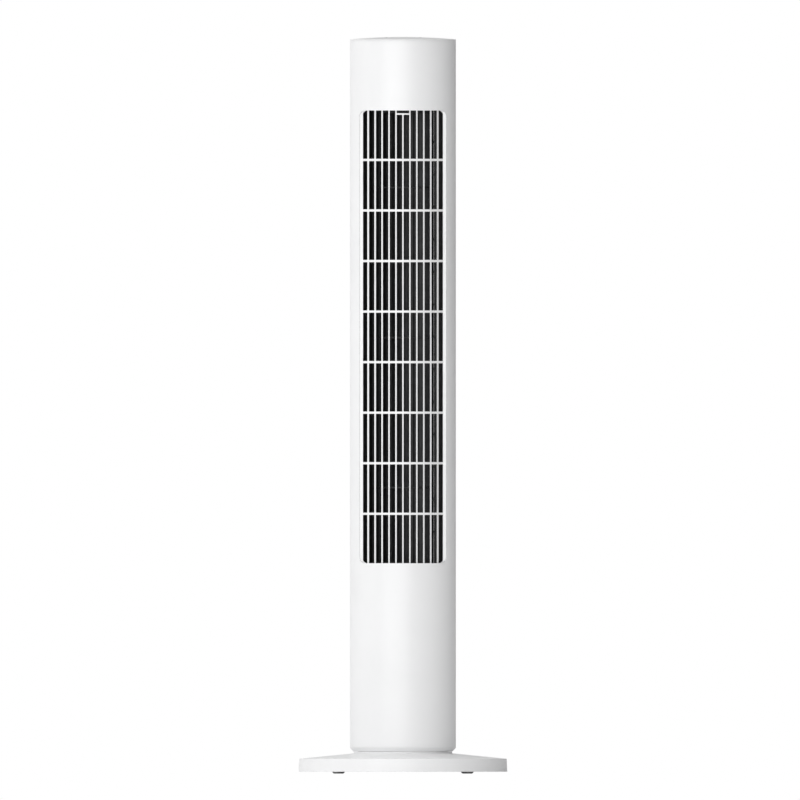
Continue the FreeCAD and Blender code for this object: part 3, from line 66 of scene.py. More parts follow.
shell = {
    "wall": 0.0024,
    "splitY": 0.014,
    "seam": 0.0002,
    "seamEdge": 0.00015,
    "edge": 0.0004,
    "spigot": 0.0762,     # outside of the spigots on the tray and in the cap
    "spigotWall": 0.0022,
    "spigotHeight": 0.011,
}
window = {
    "half": columnRadius * math.sin(math.radians(55.1)),
    "low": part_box("front_grille")[0].z + grilleOverlap,
    "high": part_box("front_grille")[1].z - grilleOverlap,
    "corner": 0.0085,
}
intake = {
    "half": columnRadius * math.sin(math.radians(62.0)),
    "low": window["low"] - windowMargin,
    "high": window["high"] + windowMargin,
    "corner": 0.012,
    "ledge": 0.0058,
    "ledgeWall": 0.002,
    "ledgeBand": 0.006,
    "ledgeCorner": 0.008,
    "ledgeFront": 0.028,
    "gap": 0.0003,
    "pegRadius": 0.002,
    "pegLength": 0.007,
    "pegSink": 0.0008,
    "pegMargin": 0.06,
    "pegSlack": 0.00015,
    "pegRounding": 0.0004,
}

camera = {"scale": 1.1946, "x": -0.0044, "z": 0.5579, "distance": 2.2}
studio = {
    "softboxSize": (2.48, 2.5),
    "softboxPlace": (-0.65, -2.52, 0.65),
    "softboxPower": 46.2,
    "leftWall": 0.54,
    "rightWall": 0.225,
    "backLeft": 0.8,
    "overhead": 0.9,
}


def makeCamera():
    data = bpy.data.cameras.new("camera")
    data.type = "ORTHO"
    data.ortho_scale = camera["scale"]
    data.clip_end = 20
    made = bpy.data.objects.new("camera", data)
    made.location = (camera["x"], -camera["distance"], camera["z"])
    made.rotation_euler = (math.radians(90), 0, 0)
    scene.collection.objects.link(made)
    scene.camera = made


def makeWorld():
    # the camera sees a white backdrop; the light comes from walls, a rear glow and a ceiling
    made = bpy.data.worlds.new("studio")
    made.use_nodes = True
    tree = made.node_tree
    tree.nodes.clear()
    place = tree.nodes.new("ShaderNodeTexCoord")

    def glow(towards, start, end, low, high):
        along = tree.nodes.new("ShaderNodeVectorMath")
        along.operation = "DOT_PRODUCT"
        along.inputs[1].default_value = towards
        tree.links.new(place.outputs["Generated"], along.inputs[0])
        ramp = tree.nodes.new("ShaderNodeMapRange")
        ramp.interpolation_type = "SMOOTHSTEP"
        for socket, value in zip(("From Min", "From Max", "To Min", "To Max"), (start, end, low, high)):
            ramp.inputs[socket].default_value = value
        tree.links.new(along.outputs["Value"], ramp.inputs["Value"])
        return ramp.outputs["Result"]

    def plus(a, b):
        node = tree.nodes.new("ShaderNodeMath")
        tree.links.new(a, node.inputs[0])
        tree.links.new(b, node.inputs[1])
        return node.outputs["Value"]

    walls = glow((1, 0, 0), -0.75, 0.75, studio["leftWall"], studio["rightWall"])
    backLeft = glow((-0.8, 0.6, 0), 0.3, 1.0, 0, studio["backLeft"])
    overhead = glow((0, 0, 1), 0.5, 0.95, 0, studio["overhead"])
    light = tree.nodes.new("ShaderNodeBackground")
    backdrop = tree.nodes.new("ShaderNodeBackground")
    backdrop.inputs["Color"].default_value = (1, 1, 1, 1)
    seen = tree.nodes.new("ShaderNodeLightPath")
    mix = tree.nodes.new("ShaderNodeMixShader")
    out = tree.nodes.new("ShaderNodeOutputWorld")
    join = tree.links.new
    join(plus(plus(walls, backLeft), overhead), light.inputs["Strength"])
    join(seen.outputs["Is Camera Ray"], mix.inputs[0])
    join(light.outputs[0], mix.inputs[1])
    join(backdrop.outputs[0], mix.inputs[2])
    join(mix.outputs[0], out.inputs["Surface"])
    scene.world = made
    scene.view_settings.view_transform = "Standard"


def makeSoftbox():
    data = bpy.data.lights.new("softbox", "AREA")
    data.shape = "RECTANGLE"
    data.size, data.size_y = studio["softboxSize"]
    data.energy = studio["softboxPower"]
    made = bpy.data.objects.new("softbox", data)
    made.location = studio["softboxPlace"]
    towards = Vector((0, 0, studio["softboxPlace"][2])) - made.location
    made.rotation_euler = towards.to_track_quat("-Z", "Y").to_euler()
    made.visible_camera = False
    scene.collection.objects.link(made)


makeCamera()
makeWorld()
makeSoftbox()
print("camera and light ready")


class Finish:
    # a procedural material, and short ways to feed its shader
    def __init__(self, name, roughness=0.5, metallic=0.0):
        self.made = bpy.data.materials.new(name)
        self.made.use_nodes = True
        self.tree = self.made.node_tree
        self.shader = self.tree.nodes["Principled BSDF"]
        self.set("Roughness", roughness)
        self.set("Metallic", metallic)
        self.place = self.tree.nodes.new("ShaderNodeTexCoord").outputs["Object"]

    def set(self, socket, value):
        self.shader.inputs[socket].default_value = value

    def stretched(self, scale, turn=(0, 0, 0)):
        mapping = self.tree.nodes.new("ShaderNodeMapping")
        mapping.inputs["Scale"].default_value = scale
        mapping.inputs["Rotation"].default_value = turn
        self.tree.links.new(self.place, mapping.inputs["Vector"])
        return mapping.outputs["Vector"]

    def noise(self, scale, detail=2.0, at=None):
        node = self.tree.nodes.new("ShaderNodeTexNoise")
        node.inputs["Scale"].default_value = scale
        node.inputs["Detail"].default_value = detail
        self.tree.links.new(at or self.place, node.inputs["Vector"])
        return node.outputs["Fac"]

    def cells(self, scale, output="Distance", at=None):
        node = self.tree.nodes.new("ShaderNodeTexVoronoi")
        node.inputs["Scale"].default_value = scale
        self.tree.links.new(at or self.place, node.inputs["Vector"])
        return node.outputs[output]

    def rings(self, scale):
        # turning marks, one over the other along Z
        node = self.tree.nodes.new("ShaderNodeTexWave")
        node.bands_direction = "Z"
        node.inputs["Scale"].default_value = scale
        self.tree.links.new(self.place, node.inputs["Vector"])
        return node.outputs["Fac"]

    def spread(self, value, low, high, start=0.3, end=0.7):
        node = self.tree.nodes.new("ShaderNodeMapRange")
        node.inputs["From Min"].default_value = start
        node.inputs["From Max"].default_value = end
        node.inputs["To Min"].default_value = low
        node.inputs["To Max"].default_value = high
        self.tree.links.new(value, node.inputs["Value"])
        return node.outputs["Result"]

    def tint(self, value, dark, light, start=0.3, end=0.7):
        node = self.tree.nodes.new("ShaderNodeValToRGB")
        node.color_ramp.elements[0].position = start
        node.color_ramp.elements[1].position = end
        node.color_ramp.elements[0].color = (*dark, 1)
        node.color_ramp.elements[1].color = (*light, 1)
        self.tree.links.new(value, node.inputs["Fac"])
        self.tree.links.new(node.outputs["Color"], self.shader.inputs["Base Color"])

    def rough(self, value, low, high):
        self.tree.links.new(self.spread(value, low, high), self.shader.inputs["Roughness"])

    def bump(self, *heights):
        # heights are (output, depth in metres), laid over each other
        last = None
        for value, depth in heights:
            node = self.tree.nodes.new("ShaderNodeBump")
            node.inputs["Distance"].default_value = depth
            self.tree.links.new(value, node.inputs["Height"])
            if last:
                self.tree.links.new(last, node.inputs["Normal"])
            last = node.outputs["Normal"]
        self.tree.links.new(last, self.shader.inputs["Normal"])


def whitePlastic():
    # satin casing: fine spark-eroded grain, with the faint waviness of a large moulding
    made = Finish("whitePlastic")
    made.tint(made.noise(9.0, 4.0), (0.845, 0.847, 0.852), (0.875, 0.876, 0.88))
    made.rough(made.noise(60.0, 3.0), 0.30, 0.38)
    made.bump((made.noise(3200.0, 2.0), 0.000006), (made.noise(7.0, 1.0), 0.00002))
    made.set("IOR", 1.5)
    return made.made


def greyRubber():
    made = Finish("greyRubber")
    made.tint(made.noise(240.0, 5.0), (0.44, 0.44, 0.445), (0.52, 0.52, 0.525))
    made.rough(made.noise(90.0, 3.0), 0.72, 0.9)
    made.bump((made.noise(1800.0, 3.0), 0.00004))
    return made.made


def blackPlastic():
    made = Finish("blackPlastic")
    made.tint(made.noise(120.0, 4.0), (0.018, 0.018, 0.019), (0.03, 0.03, 0.032))
    made.rough(made.noise(35.0, 3.0), 0.5, 0.68)
    made.bump((made.noise(2600.0, 2.0), 0.00001))
    return made.made


def naturalNylon():
    made = Finish("naturalNylon")
    made.tint(made.noise(40.0, 4.0), (0.70, 0.66, 0.56), (0.80, 0.77, 0.68))
    made.rough(made.noise(80.0, 3.0), 0.38, 0.52)
    made.bump((made.noise(1500.0, 2.0), 0.000008))
    made.set("Subsurface Weight", 0.15)
    made.set("Subsurface Radius", (0.003, 0.0025, 0.002))
    return made.made


def zincSteel():
    # plated sheet: broad spangle and drawing lines
    made = Finish("zincSteel", metallic=1.0)
    made.tint(made.cells(160.0, "Color"), (0.50, 0.51, 0.53), (0.66, 0.67, 0.69), 0.1, 0.9)
    made.rough(made.noise(300.0, 3.0, made.stretched((1, 1, 0.05))), 0.28, 0.46)
    made.bump((made.noise(900.0, 2.0, made.stretched((1, 1, 0.04))), 0.000006))
    return made.made


def brightSteel():
    made = Finish("brightSteel", metallic=1.0)
    made.tint(made.noise(400.0, 2.0), (0.66, 0.66, 0.67), (0.78, 0.78, 0.79))
    made.rough(made.noise(700.0, 2.0), 0.16, 0.30)
    made.bump((made.noise(1600.0, 2.0), 0.000004))
    return made.made


def bronze():
    # sintered and oiled: open pores, darker where the oil stands
    made = Finish("bronze", metallic=1.0)
    made.tint(made.noise(1400.0, 3.0), (0.30, 0.19, 0.09), (0.62, 0.43, 0.22))
    made.rough(made.noise(500.0, 2.0), 0.32, 0.55)
    made.bump((made.cells(2200.0), 0.00001))
    return made.made


def alloyHub():
    # turned rings
    made = Finish("alloyHub", metallic=1.0)
    made.tint(made.noise(300.0, 2.0), (0.66, 0.67, 0.68), (0.76, 0.77, 0.78))
    made.rough(made.noise(200.0, 2.0, made.stretched((1, 1, 8))), 0.2, 0.34)
    made.bump((made.rings(1100.0), 0.000006))
    return made.made


def circuitBoard():
    made = Finish("circuitBoard")
    tracks = made.cells(110.0, "Color", made.stretched((1, 1, 0.4), (0, math.radians(45), 0)))
    made.tint(tracks, (0.012, 0.085, 0.035), (0.02, 0.15, 0.06), 0.35, 0.4)
    made.rough(made.noise(120.0, 2.0), 0.22, 0.36)
    made.bump((tracks, 0.00002))
    return made.made


def componentCases():
    made = Finish("componentCases")
    made.tint(made.cells(45.0, "Color"), (0.012, 0.013, 0.016), (0.16, 0.11, 0.04), 0.45, 0.95)
    made.rough(made.noise(150.0, 3.0), 0.3, 0.55)
    made.bump((made.noise(1200.0, 2.0), 0.00001))
    return made.made


def leadSheath():
    made = Finish("leadSheath")
    made.tint(made.noise(160.0, 3.0), (0.018, 0.018, 0.018), (0.03, 0.03, 0.031))
    made.rough(made.noise(90.0, 2.0), 0.42, 0.6)
    made.bump((made.noise(800.0, 2.0), 0.00001))
    return made.made


def smokedLens():
    made = Finish("smokedLens")
    made.tint(made.noise(30.0, 2.0), (0.10, 0.10, 0.105), (0.13, 0.13, 0.135))
    made.rough(made.noise(200.0, 3.0), 0.04, 0.09)
    made.bump((made.noise(12.0, 1.0), 0.000004))
    made.set("IOR", 1.49)
    made.set("Transmission Weight", 0.55)
    return made.made


def greyInk():
    made = Finish("greyInk")
    made.tint(made.noise(2500.0, 2.0), (0.20, 0.20, 0.21), (0.27, 0.27, 0.28))
    made.rough(made.noise(900.0, 2.0), 0.4, 0.55)
    return made.made


def milkySegment():
    made = Finish("milkySegment")
    made.tint(made.noise(600.0, 2.0), (0.34, 0.35, 0.36), (0.42, 0.43, 0.44))
    made.rough(made.noise(500.0, 2.0), 0.3, 0.45)
    return made.made


finishes = {
    "white_plastic": whitePlastic(),
    "grey_rubber": greyRubber(),
    "black_plastic": blackPlastic(),
    "natural_nylon": naturalNylon(),
    "zinc_steel": zincSteel(),
    "bright_steel": brightSteel(),
    "bronze": bronze(),
    "alloy_hub": alloyHub(),
    "circuit_board": circuitBoard(),
    "components": componentCases(),
    "lead_sheath": leadSheath(),
    "smoked_lens": smokedLens(),
}
ink = greyInk()
segmentFinish = milkySegment()
for name, node in nodes.items():
    for holder in node.material_slots:
        holder.material = finishes[slotOf[name]]
print("finishes on every node:", len(finishes))


def makeFloor():
    bm = bmesh.new()
    bmesh.ops.create_circle(bm, cap_ends=True, radius=7.0, segments=96)
    mesh = bpy.data.meshes.new("floor")
    bm.to_mesh(mesh)
    bm.free()
    made = bpy.data.objects.new("floor", mesh)
    pale = Finish("paleFloor")
    pale.tint(pale.noise(1.5, 4.0), (0.92, 0.92, 0.92), (0.94, 0.94, 0.94))
    pale.rough(pale.noise(40.0, 3.0), 0.6, 0.75)
    mesh.materials.append(pale.made)
    scene.collection.objects.link(made)


makeFloor()


def roundedFace(bm, corners, segments=4):
    # a face in the XZ plane; each corner is (x, z, rounding)
    verts = [bm.verts.new((x, 0, z)) for x, z, rounding in corners]
    bm.faces.new(verts)
    for size in sorted({rounding for x, z, rounding in corners if rounding}):
        chosen = [v for v, corner in zip(verts, corners) if corner[2] == size]
        bmesh.ops.bevel(bm, geom=chosen, offset=size, offset_type="OFFSET", segments=segments, profile=0.5,
                        affect="VERTICES", material=-1)


def tidied(bm):
    bmesh.ops.remove_doubles(bm, verts=bm.verts[:], dist=1e-7)
    bmesh.ops.dissolve_degenerate(bm, edges=bm.edges[:], dist=1e-7)
    bmesh.ops.recalc_face_normals(bm, faces=bm.faces[:])
    return bm


def turned(corners, steps=facets, centre=(0, 0, 0), segments=4):
    # a solid turned about the Z axis from an outline of (radius, height, rounding)
    bm = bmesh.new()
    roundedFace(bm, corners, segments)
    bmesh.ops.delete(bm, geom=bm.faces[:], context="FACES_ONLY")
    bmesh.ops.spin(bm, geom=bm.verts[:] + bm.edges[:], cent=(0, 0, 0), axis=(0, 0, 1), angle=math.tau,
                   steps=steps, use_merge=True)
    bmesh.ops.translate(bm, verts=bm.verts[:], vec=centre)
    return tidied(bm)


def extruded(bm, vec):
    moved = bmesh.ops.extrude_face_region(bm, geom=bm.faces[:])["geom"]
    bmesh.ops.translate(bm, verts=[v for v in moved if isinstance(v, bmesh.types.BMVert)], vec=vec)
    bmesh.ops.recalc_face_normals(bm, faces=bm.faces[:])
    return bm


def roundedBlock(half, low, high, corner, front, back, segments=8):
    # a block along Y whose outline, seen from the front, has round corners
    bm = bmesh.new()
    roundedFace(bm, [(-half, low, corner), (half, low, corner), (half, high, corner), (-half, high, corner)],
                segments)
    bmesh.ops.translate(bm, verts=bm.verts[:], vec=(0, front, 0))
    return extruded(bm, (0, back - front, 0))


def addBlock(bm, low, high, turn=None):
    # a plain block between two corners, added to a mesh
    low, high = Vector(low), Vector(high)
    size = high - low
    place = Matrix.Translation((low + high) / 2) @ Matrix.Diagonal((*size, 1))
    return bmesh.ops.create_cube(bm, size=1, matrix=(turn @ place) if turn else place)["verts"]


def addRod(bm, start, radius, length, rounding=0.0):
    # a round rod from start along +Y, its near end rounded
    middle = Matrix.Translation(Vector(start) + Vector((0, length / 2, 0)))
    place = middle @ Matrix.Rotation(math.radians(90), 4, "X")
    verts = bmesh.ops.create_cone(bm, cap_ends=True, segments=32, radius1=radius, radius2=radius,
                                  depth=length, matrix=place)["verts"]
    if rounding:
        near = {v for v in verts if v.co.y < start[1] + length / 2}
        rim = [e for e in bm.edges if e.verts[0] in near and e.verts[1] in near]
        bmesh.ops.bevel(bm, geom=rim, offset=rounding, offset_type="OFFSET", segments=3, profile=0.5,
                        affect="EDGES", material=-1)


def pegPlaces():
    # the inner ends of the rear grille's pegs
    x = intake["half"] - intake["ledge"] / 2
    y = math.sqrt(columnRadius ** 2 - x ** 2) - intake["pegSink"] - intake["pegLength"]
    heights = (intake["low"] + intake["pegMargin"], (intake["low"] + intake["high"]) / 2,
               intake["high"] - intake["pegMargin"])
    return [(side * x, y, z) for side in (-1, 1) for z in heights]


def scratchObject(bm):
    mesh = bpy.data.meshes.new("scratch")
    bm.to_mesh(mesh)
    bm.free()
    made = bpy.data.objects.new("scratch", mesh)
    scene.collection.objects.link(made)
    return made


def carved(bm, tool, operation="DIFFERENCE"):
    body, cutter = scratchObject(bm), scratchObject(tool)
    cut = body.modifiers.new("cut", "BOOLEAN")
    cut.operation = operation
    cut.solver = "EXACT"
    cut.object = cutter
    bpy.context.view_layer.update()
    made = bmesh.new()
    made.from_object(body, bpy.context.evaluated_depsgraph_get())
    for thing in (body, cutter):
        mesh = thing.data
        bpy.data.objects.remove(thing)
        bpy.data.meshes.remove(mesh)
    bmesh.ops.remove_doubles(made, verts=made.verts[:], dist=1e-6)
    bmesh.ops.dissolve_degenerate(made, edges=made.edges[:], dist=1e-6)
    return made


def softened(bm, width, segments=2, angle=35.0, where=None):
    # rounds the sharp edges, all of them or those that where picks
    sharp = [e for e in bm.edges if e.is_manifold and e.calc_face_angle(0) > math.radians(angle)
             and (where is None or where(e))]
    bmesh.ops.bevel(bm, geom=sharp, offset=width, offset_type="OFFSET", segments=segments, profile=0.5,
                    affect="EDGES", clamp_overlap=False, loop_slide=False, material=-1)
    return bm


def makePiece(name, bm, body, slotName, replaced=(), finish=None, sharpAngle=40.0):
    loose = [e for e in bm.edges if not e.is_manifold]
    if loose:
        print("  ", name, "has", len(loose), "open edges")
    mesh = bpy.data.meshes.new(name)
    bm.to_mesh(mesh)
    bm.free()
    mesh.shade_smooth()
    mesh.set_sharp_from_angle(angle=math.radians(sharpAngle))
    made = bpy.data.objects.new(name, mesh)
    scene.collection.objects.link(made)
    mesh.materials.append(finish or finishes[slotName])
    even = made.modifiers.new("evenNormals", "WEIGHTED_NORMAL")
    even.keep_sharp = True
    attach(made, body)
    if replaced:
        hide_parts(*replaced)


def casingTube():
    inner = columnRadius - shell["wall"]
    edge = shell["seamEdge"]
    return turned([(inner, shellBottom, 0), (columnRadius, shellBottom, edge),
                   (columnRadius, shellTop, edge), (inner, shellTop, 0)], segments=3)


def halfOf(bm, planeY, keepFront):
    cut = bmesh.ops.bisect_plane(bm, geom=bm.verts[:] + bm.edges[:] + bm.faces[:], dist=1e-7,
                                 plane_co=(0, planeY, 0), plane_no=(0, 1, 0), clear_outer=keepFront,
                                 clear_inner=not keepFront)
    rim = [e for e in cut["geom_cut"] if isinstance(e, bmesh.types.BMEdge)]
    bmesh.ops.holes_fill(bm, edges=rim, sides=0)
    return tidied(bm)


def windowEdge(edge):
    # true round the windows, false at the seams
    seamBand, endBand = 0.02, 0.002
    return all(abs(v.co.y) > seamBand and shellBottom + endBand < v.co.z < shellTop - endBand
               for v in edge.verts)


def makeFrontShell():
    bm = halfOf(casingTube(), shell["splitY"], True)
    opening = roundedBlock(window["half"], window["low"], window["high"], window["corner"], -cutReach,
                           -cutStart)
    bm = carved(bm, opening)
    softened(bm, shell["edge"], 3, where=windowEdge)
    makePiece("frontShell", bm, "column", "white_plastic", ["front_shell"])


def makeRearShell():
    bm = halfOf(casingTube(), shell["splitY"] + shell["seam"], False)
    opening = roundedBlock(intake["half"], intake["low"], intake["high"], intake["corner"], cutStart,
                           cutReach)
    bm = carved(bm, opening)
    softened(bm, shell["edge"], 3, where=windowEdge)
    makePiece("rearShell", bm, "column", "white_plastic", ["rear_shell"])


def makeIntakeLedge():
    # the ledge that the rear grille seats on
    outer = columnRadius - shell["wall"]
    inner = outer - intake["ledgeWall"]
    ledge, band = intake["ledge"], intake["ledgeBand"]
    low, high = intake["low"], intake["high"]
    bm = turned([(inner, low - band, 0), (outer, low - band, 0), (outer, high + band, 0),
                 (inner, high + band, 0)])
    bm = halfOf(bm, intake["ledgeFront"], False)
    hole = roundedBlock(intake["half"] - ledge, low + ledge, high - ledge, intake["ledgeCorner"],
                        cutStart, cutReach)
    pegHoles = bmesh.new()
    for x, y, z in pegPlaces():
        start = (x, y - intake["pegLength"], z)
        addRod(pegHoles, start, intake["pegRadius"] + intake["pegSlack"], cutReach)
    makePiece("intakeLedge", carved(carved(bm, hole), pegHoles), "column", "white_plastic")


makeFrontShell()
makeRearShell()
makeIntakeLedge()
print("casing done")


outletAngle = math.radians(49.45)       # from the middle to the outlet's side, at the axis
outlet = {
    "half": columnRadius * math.sin(outletAngle),
    "corner": 0.0073,
    "uprights": 11,
    "edgeSlot": 0.007255,
    "rows": 9,
    "barFront": 0.0018,
    "barBack": 0.0028,
    "crossBar": 0.0034,
    "recess": 0.004,
    "depth": 0.007,
    "notch": 0.0041,
    "notchBar": 0.0023,
    "stripRecess": 0.0004,
    "stripDepth": 0.0032,
    "fit": 0.0002,
    "edge": 0.0003,
}


def barPlaces():
    # the bars' middles across the outlet, with the outlet's sides as half bars
    side = outlet["half"] + outlet["barFront"] / 2
    edgeBar = outlet["half"] - outlet["edgeSlot"] - outlet["barFront"] / 2
    pitch = 2 * edgeBar / (outlet["uprights"] - 1)
    return [-side] + [-edgeBar + pitch * i for i in range(outlet["uprights"])] + [side]


def curvedPanel(outer, inner, low, high):
    # its facets meet in the middle of a bar or of a slot, clear of the bars' rounded edges
    bars = barPlaces()
    reach = outlet["half"] + 0.001
    across = sorted(bars[1:-1] + [(a + b) / 2 for a, b in zip(bars, bars[1:])] + [-reach, reach])
    bm = bmesh.new()
    for radius in (outer, inner):
        verts = [bm.verts.new((x, -math.sqrt(radius ** 2 - x ** 2), low)) for x in across]
        for pair in zip(verts, verts[1:]):
            bm.edges.new(pair)
    bmesh.ops.bridge_loops(bm, edges=bm.edges[:])
    return extruded(bm, (0, 0, high - low))


def facesAmong(bm, verts):
    return [f for f in bm.faces if all(v in verts for v in f.verts)]


def outletCells():
    # the openings, each a block that narrows to the back
    bars = barPlaces()
    rowPitch = (window["high"] - window["low"] + outlet["crossBar"]) / outlet["rows"]
    middle = outlet["uprights"] // 2
    clear = 0.005
    front = -columnRadius - clear
    back = -(columnRadius - outlet["recess"] - outlet["depth"]) * math.cos(outletAngle)
    narrowing = (outlet["barBack"] - outlet["barFront"]) / 2
    bm = bmesh.new()

    def addCell(left, right, low, high):
        x0, x1 = left + outlet["barFront"] / 2, right - outlet["barFront"] / 2
        verts = addBlock(bm, (x0, front, low), (x1, back, high))
        farVerts = [v for v in verts if v.co.y > (front + back) / 2]
        share = 1 - 2 * narrowing / (x1 - x0)
        middleX = Matrix.Translation((-(x0 + x1) / 2, 0, 0))
        bmesh.ops.scale(bm, verts=farVerts, vec=(share, 1, 1), space=middleX)
        rear = bmesh.ops.extrude_face_region(bm, geom=facesAmong(bm, farVerts))
        moved = [v for v in rear["geom"] if isinstance(v, bmesh.types.BMVert)]
        bmesh.ops.translate(bm, verts=moved, vec=(0, -cutStart - back, 0))
        bmesh.ops.delete(bm, geom=facesAmong(bm, farVerts), context="FACES_ONLY")

    underNotch = window["high"] - outlet["notch"] - outlet["notchBar"]
    spare = 0.001       # the end rows run past the outline, which trims them
    for row in range(outlet["rows"]):
        last = row == outlet["rows"] - 1
        low = window["low"] + row * rowPitch
        high = low + rowPitch - outlet["crossBar"] + (spare if last else 0)
        for i, (left, right) in enumerate(zip(bars, bars[1:])):
            besideMiddle = last and i in (middle, middle + 1)
            addCell(left, right, low - (0 if row else spare), underNotch if besideMiddle else high)
    addCell(bars[middle], bars[middle + 2], window["high"] - outlet["notch"], window["high"] + spare)
    bmesh.ops.recalc_face_normals(bm, faces=bm.faces[:])
    outline = roundedBlock(outlet["half"], window["low"], window["high"], outlet["corner"], front - clear,
                           clear - cutStart)
    return carved(bm, outline, "INTERSECT")


def makeFrontGrille():
    outer = columnRadius - outlet["recess"]
    low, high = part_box("front_grille")[0].z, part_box("front_grille")[1].z
    panel = carved(curvedPanel(outer, outer - outlet["depth"], low, high), outletCells())
    softened(panel, outlet["edge"], 2)
    makePiece("frontGrille", panel, "column", "white_plastic", ["front_grille"])


def makeGrilleStrips():
    # flat strips down both sides of the window
    stripY = -math.sqrt(columnRadius ** 2 - window["half"] ** 2) + outlet["stripRecess"]
    fit = outlet["fit"]
    low, high = window["low"] + fit, window["high"] - fit
    for side, name in ((-1, "grilleStripLeft"), (1, "grilleStripRight")):
        bm = bmesh.new()
        x0, x1 = sorted((side * (outlet["half"] - fit), side * (window["half"] - fit)))
        addBlock(bm, (x0, stripY, low), (x1, stripY + outlet["stripDepth"], high))
        outline = roundedBlock(window["half"] - fit, low, high, window["corner"] - fit, -0.09, -0.02)
        bm = carved(bm, outline, "INTERSECT")
        softened(bm, outlet["edge"], 2)
        makePiece(name, bm, "column", "white_plastic", ["front_grille"])


makeFrontGrille()
makeGrilleStrips()
print("front grille done")


rearGrille = {
    "slotAngle": 3.4,
    "barAngle": 1.6,
    "rows": 14,
    "crossBar": 0.003,
    "border": 0.006,
    "thickness": 0.0023,
    "edge": 0.0003,
    "facets": 144,
}


def makeRearGrille():
    gap = intake["gap"]
    inner = columnRadius - rearGrille["thickness"]
    low, high = intake["low"], intake["high"]
    spare = 0.001
    panel = turned([(inner, low - spare, 0), (columnRadius, low - spare, 0), (columnRadius, high + spare, 0),
                    (inner, high + spare, 0)], rearGrille["facets"])
    outline = roundedBlock(intake["half"] - gap, low + gap, high - gap, intake["corner"] - gap, cutStart,
                           cutReach)
    panel = carved(panel, outline, "INTERSECT")
    border = intake["ledge"] + rearGrille["border"]
    slotLow, slotHigh = low + border, high - border
    pitch = rearGrille["slotAngle"] + rearGrille["barAngle"]
    columns = 2 * int(math.degrees(math.asin((intake["half"] - border) / columnRadius)) / pitch)
    step = (slotHigh - slotLow + rearGrille["crossBar"]) / rearGrille["rows"]
    halfSlot = columnRadius * math.radians(rearGrille["slotAngle"] / 2)
    through = 0.003
    slots = bmesh.new()
    for column in range(columns):
        turn = Matrix.Rotation(math.radians(90 + (column - (columns - 1) / 2) * pitch), 4, "Z")
        for row in range(rearGrille["rows"]):
            bottom = slotLow + row * step
            addBlock(slots, (inner - through, -halfSlot, bottom),
                     (columnRadius + through, halfSlot, bottom + step - rearGrille["crossBar"]), turn)
    bmesh.ops.recalc_face_normals(slots, faces=slots.faces[:])
    panel = carved(panel, slots)
    softened(panel, rearGrille["edge"], 2)
    makePiece("rearGrille", panel, "rear_grille", "white_plastic", ["rear_grille"])
    pegs = bmesh.new()
    for place in pegPlaces():
        addRod(pegs, place, intake["pegRadius"], intake["pegLength"], intake["pegRounding"])
    makePiece("rearGrillePegs", pegs, "rear_grille", "white_plastic", ["rear_grille"])


makeRearGrille()
print("rear grille done")


tray = {
    "chamfer": 0.0055,
    "chamferRounding": 0.0008,
    "neckGap": 0.00035,
    "floor": 0.006,
    "bore": 0.016,
    "well": 0.054,
    "wellDepth": 0.0028,
    "raceInner": 0.0576,
    "raceOuter": 0.0699,
    "raceDepth": 0.0034,
    "edge": 0.0003,
}


def makeBottomTray():
    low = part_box("base_shell")[1].z + tray["neckGap"]
    top = shellBottom - shell["seam"]
    spigot = shell["spigot"]
    spigotInner = spigot - shell["spigotWall"]
    spigotTop = top + shell["spigotHeight"]
    bm = turned([
        (tray["raceOuter"], low, 0), (columnRadius - tray["chamfer"], low, shell["seamEdge"]),
        (columnRadius, low + tray["chamfer"], tray["chamferRounding"]),
        (columnRadius, top, shell["seamEdge"]), (spigot, top, 0), (spigot, spigotTop, tray["edge"]),
        (spigotInner, spigotTop, tray["edge"]),
        (spigotInner, low + tray["floor"], 0), (tray["bore"], low + tray["floor"], 0),
        (tray["bore"], low + tray["wellDepth"], 0), (tray["well"], low + tray["wellDepth"], 0),
        (tray["well"], low, 0), (tray["raceInner"], low, 0), (tray["raceInner"], low + tray["raceDepth"], 0),
        (tray["raceOuter"], low + tray["raceDepth"], 0),
    ])
    makePiece("bottomTray", bm, "column", "white_plastic", ["bottom_tray"])


base = {
    "wall": 0.003,
    "rimHeight": 0.0194,
    "draft": 0.0009,
    "lean": 0.0008,
    "coneRise": 0.0081,
    "rimRounding": 0.0009,
    "coneRounding": 0.0003,
    "neckRounding": 0.00015,
    "footRounding": 0.0004,
    "innerRounding": 0.0003,
    "roof": 0.0064,
    "raceInner": 0.0576,
    "raceOuter": 0.07,
    "raceDepth": 0.0034,
    "raceRounding": 0.0002,
    "well": 0.055,
    "wellTop": 0.0172,
    "wellUnder": 0.0122,
    "bore": 0.0121,
    "glandHole": 0.00555,
    "glandReach": 0.03,
    "glandInset": 0.002,
}


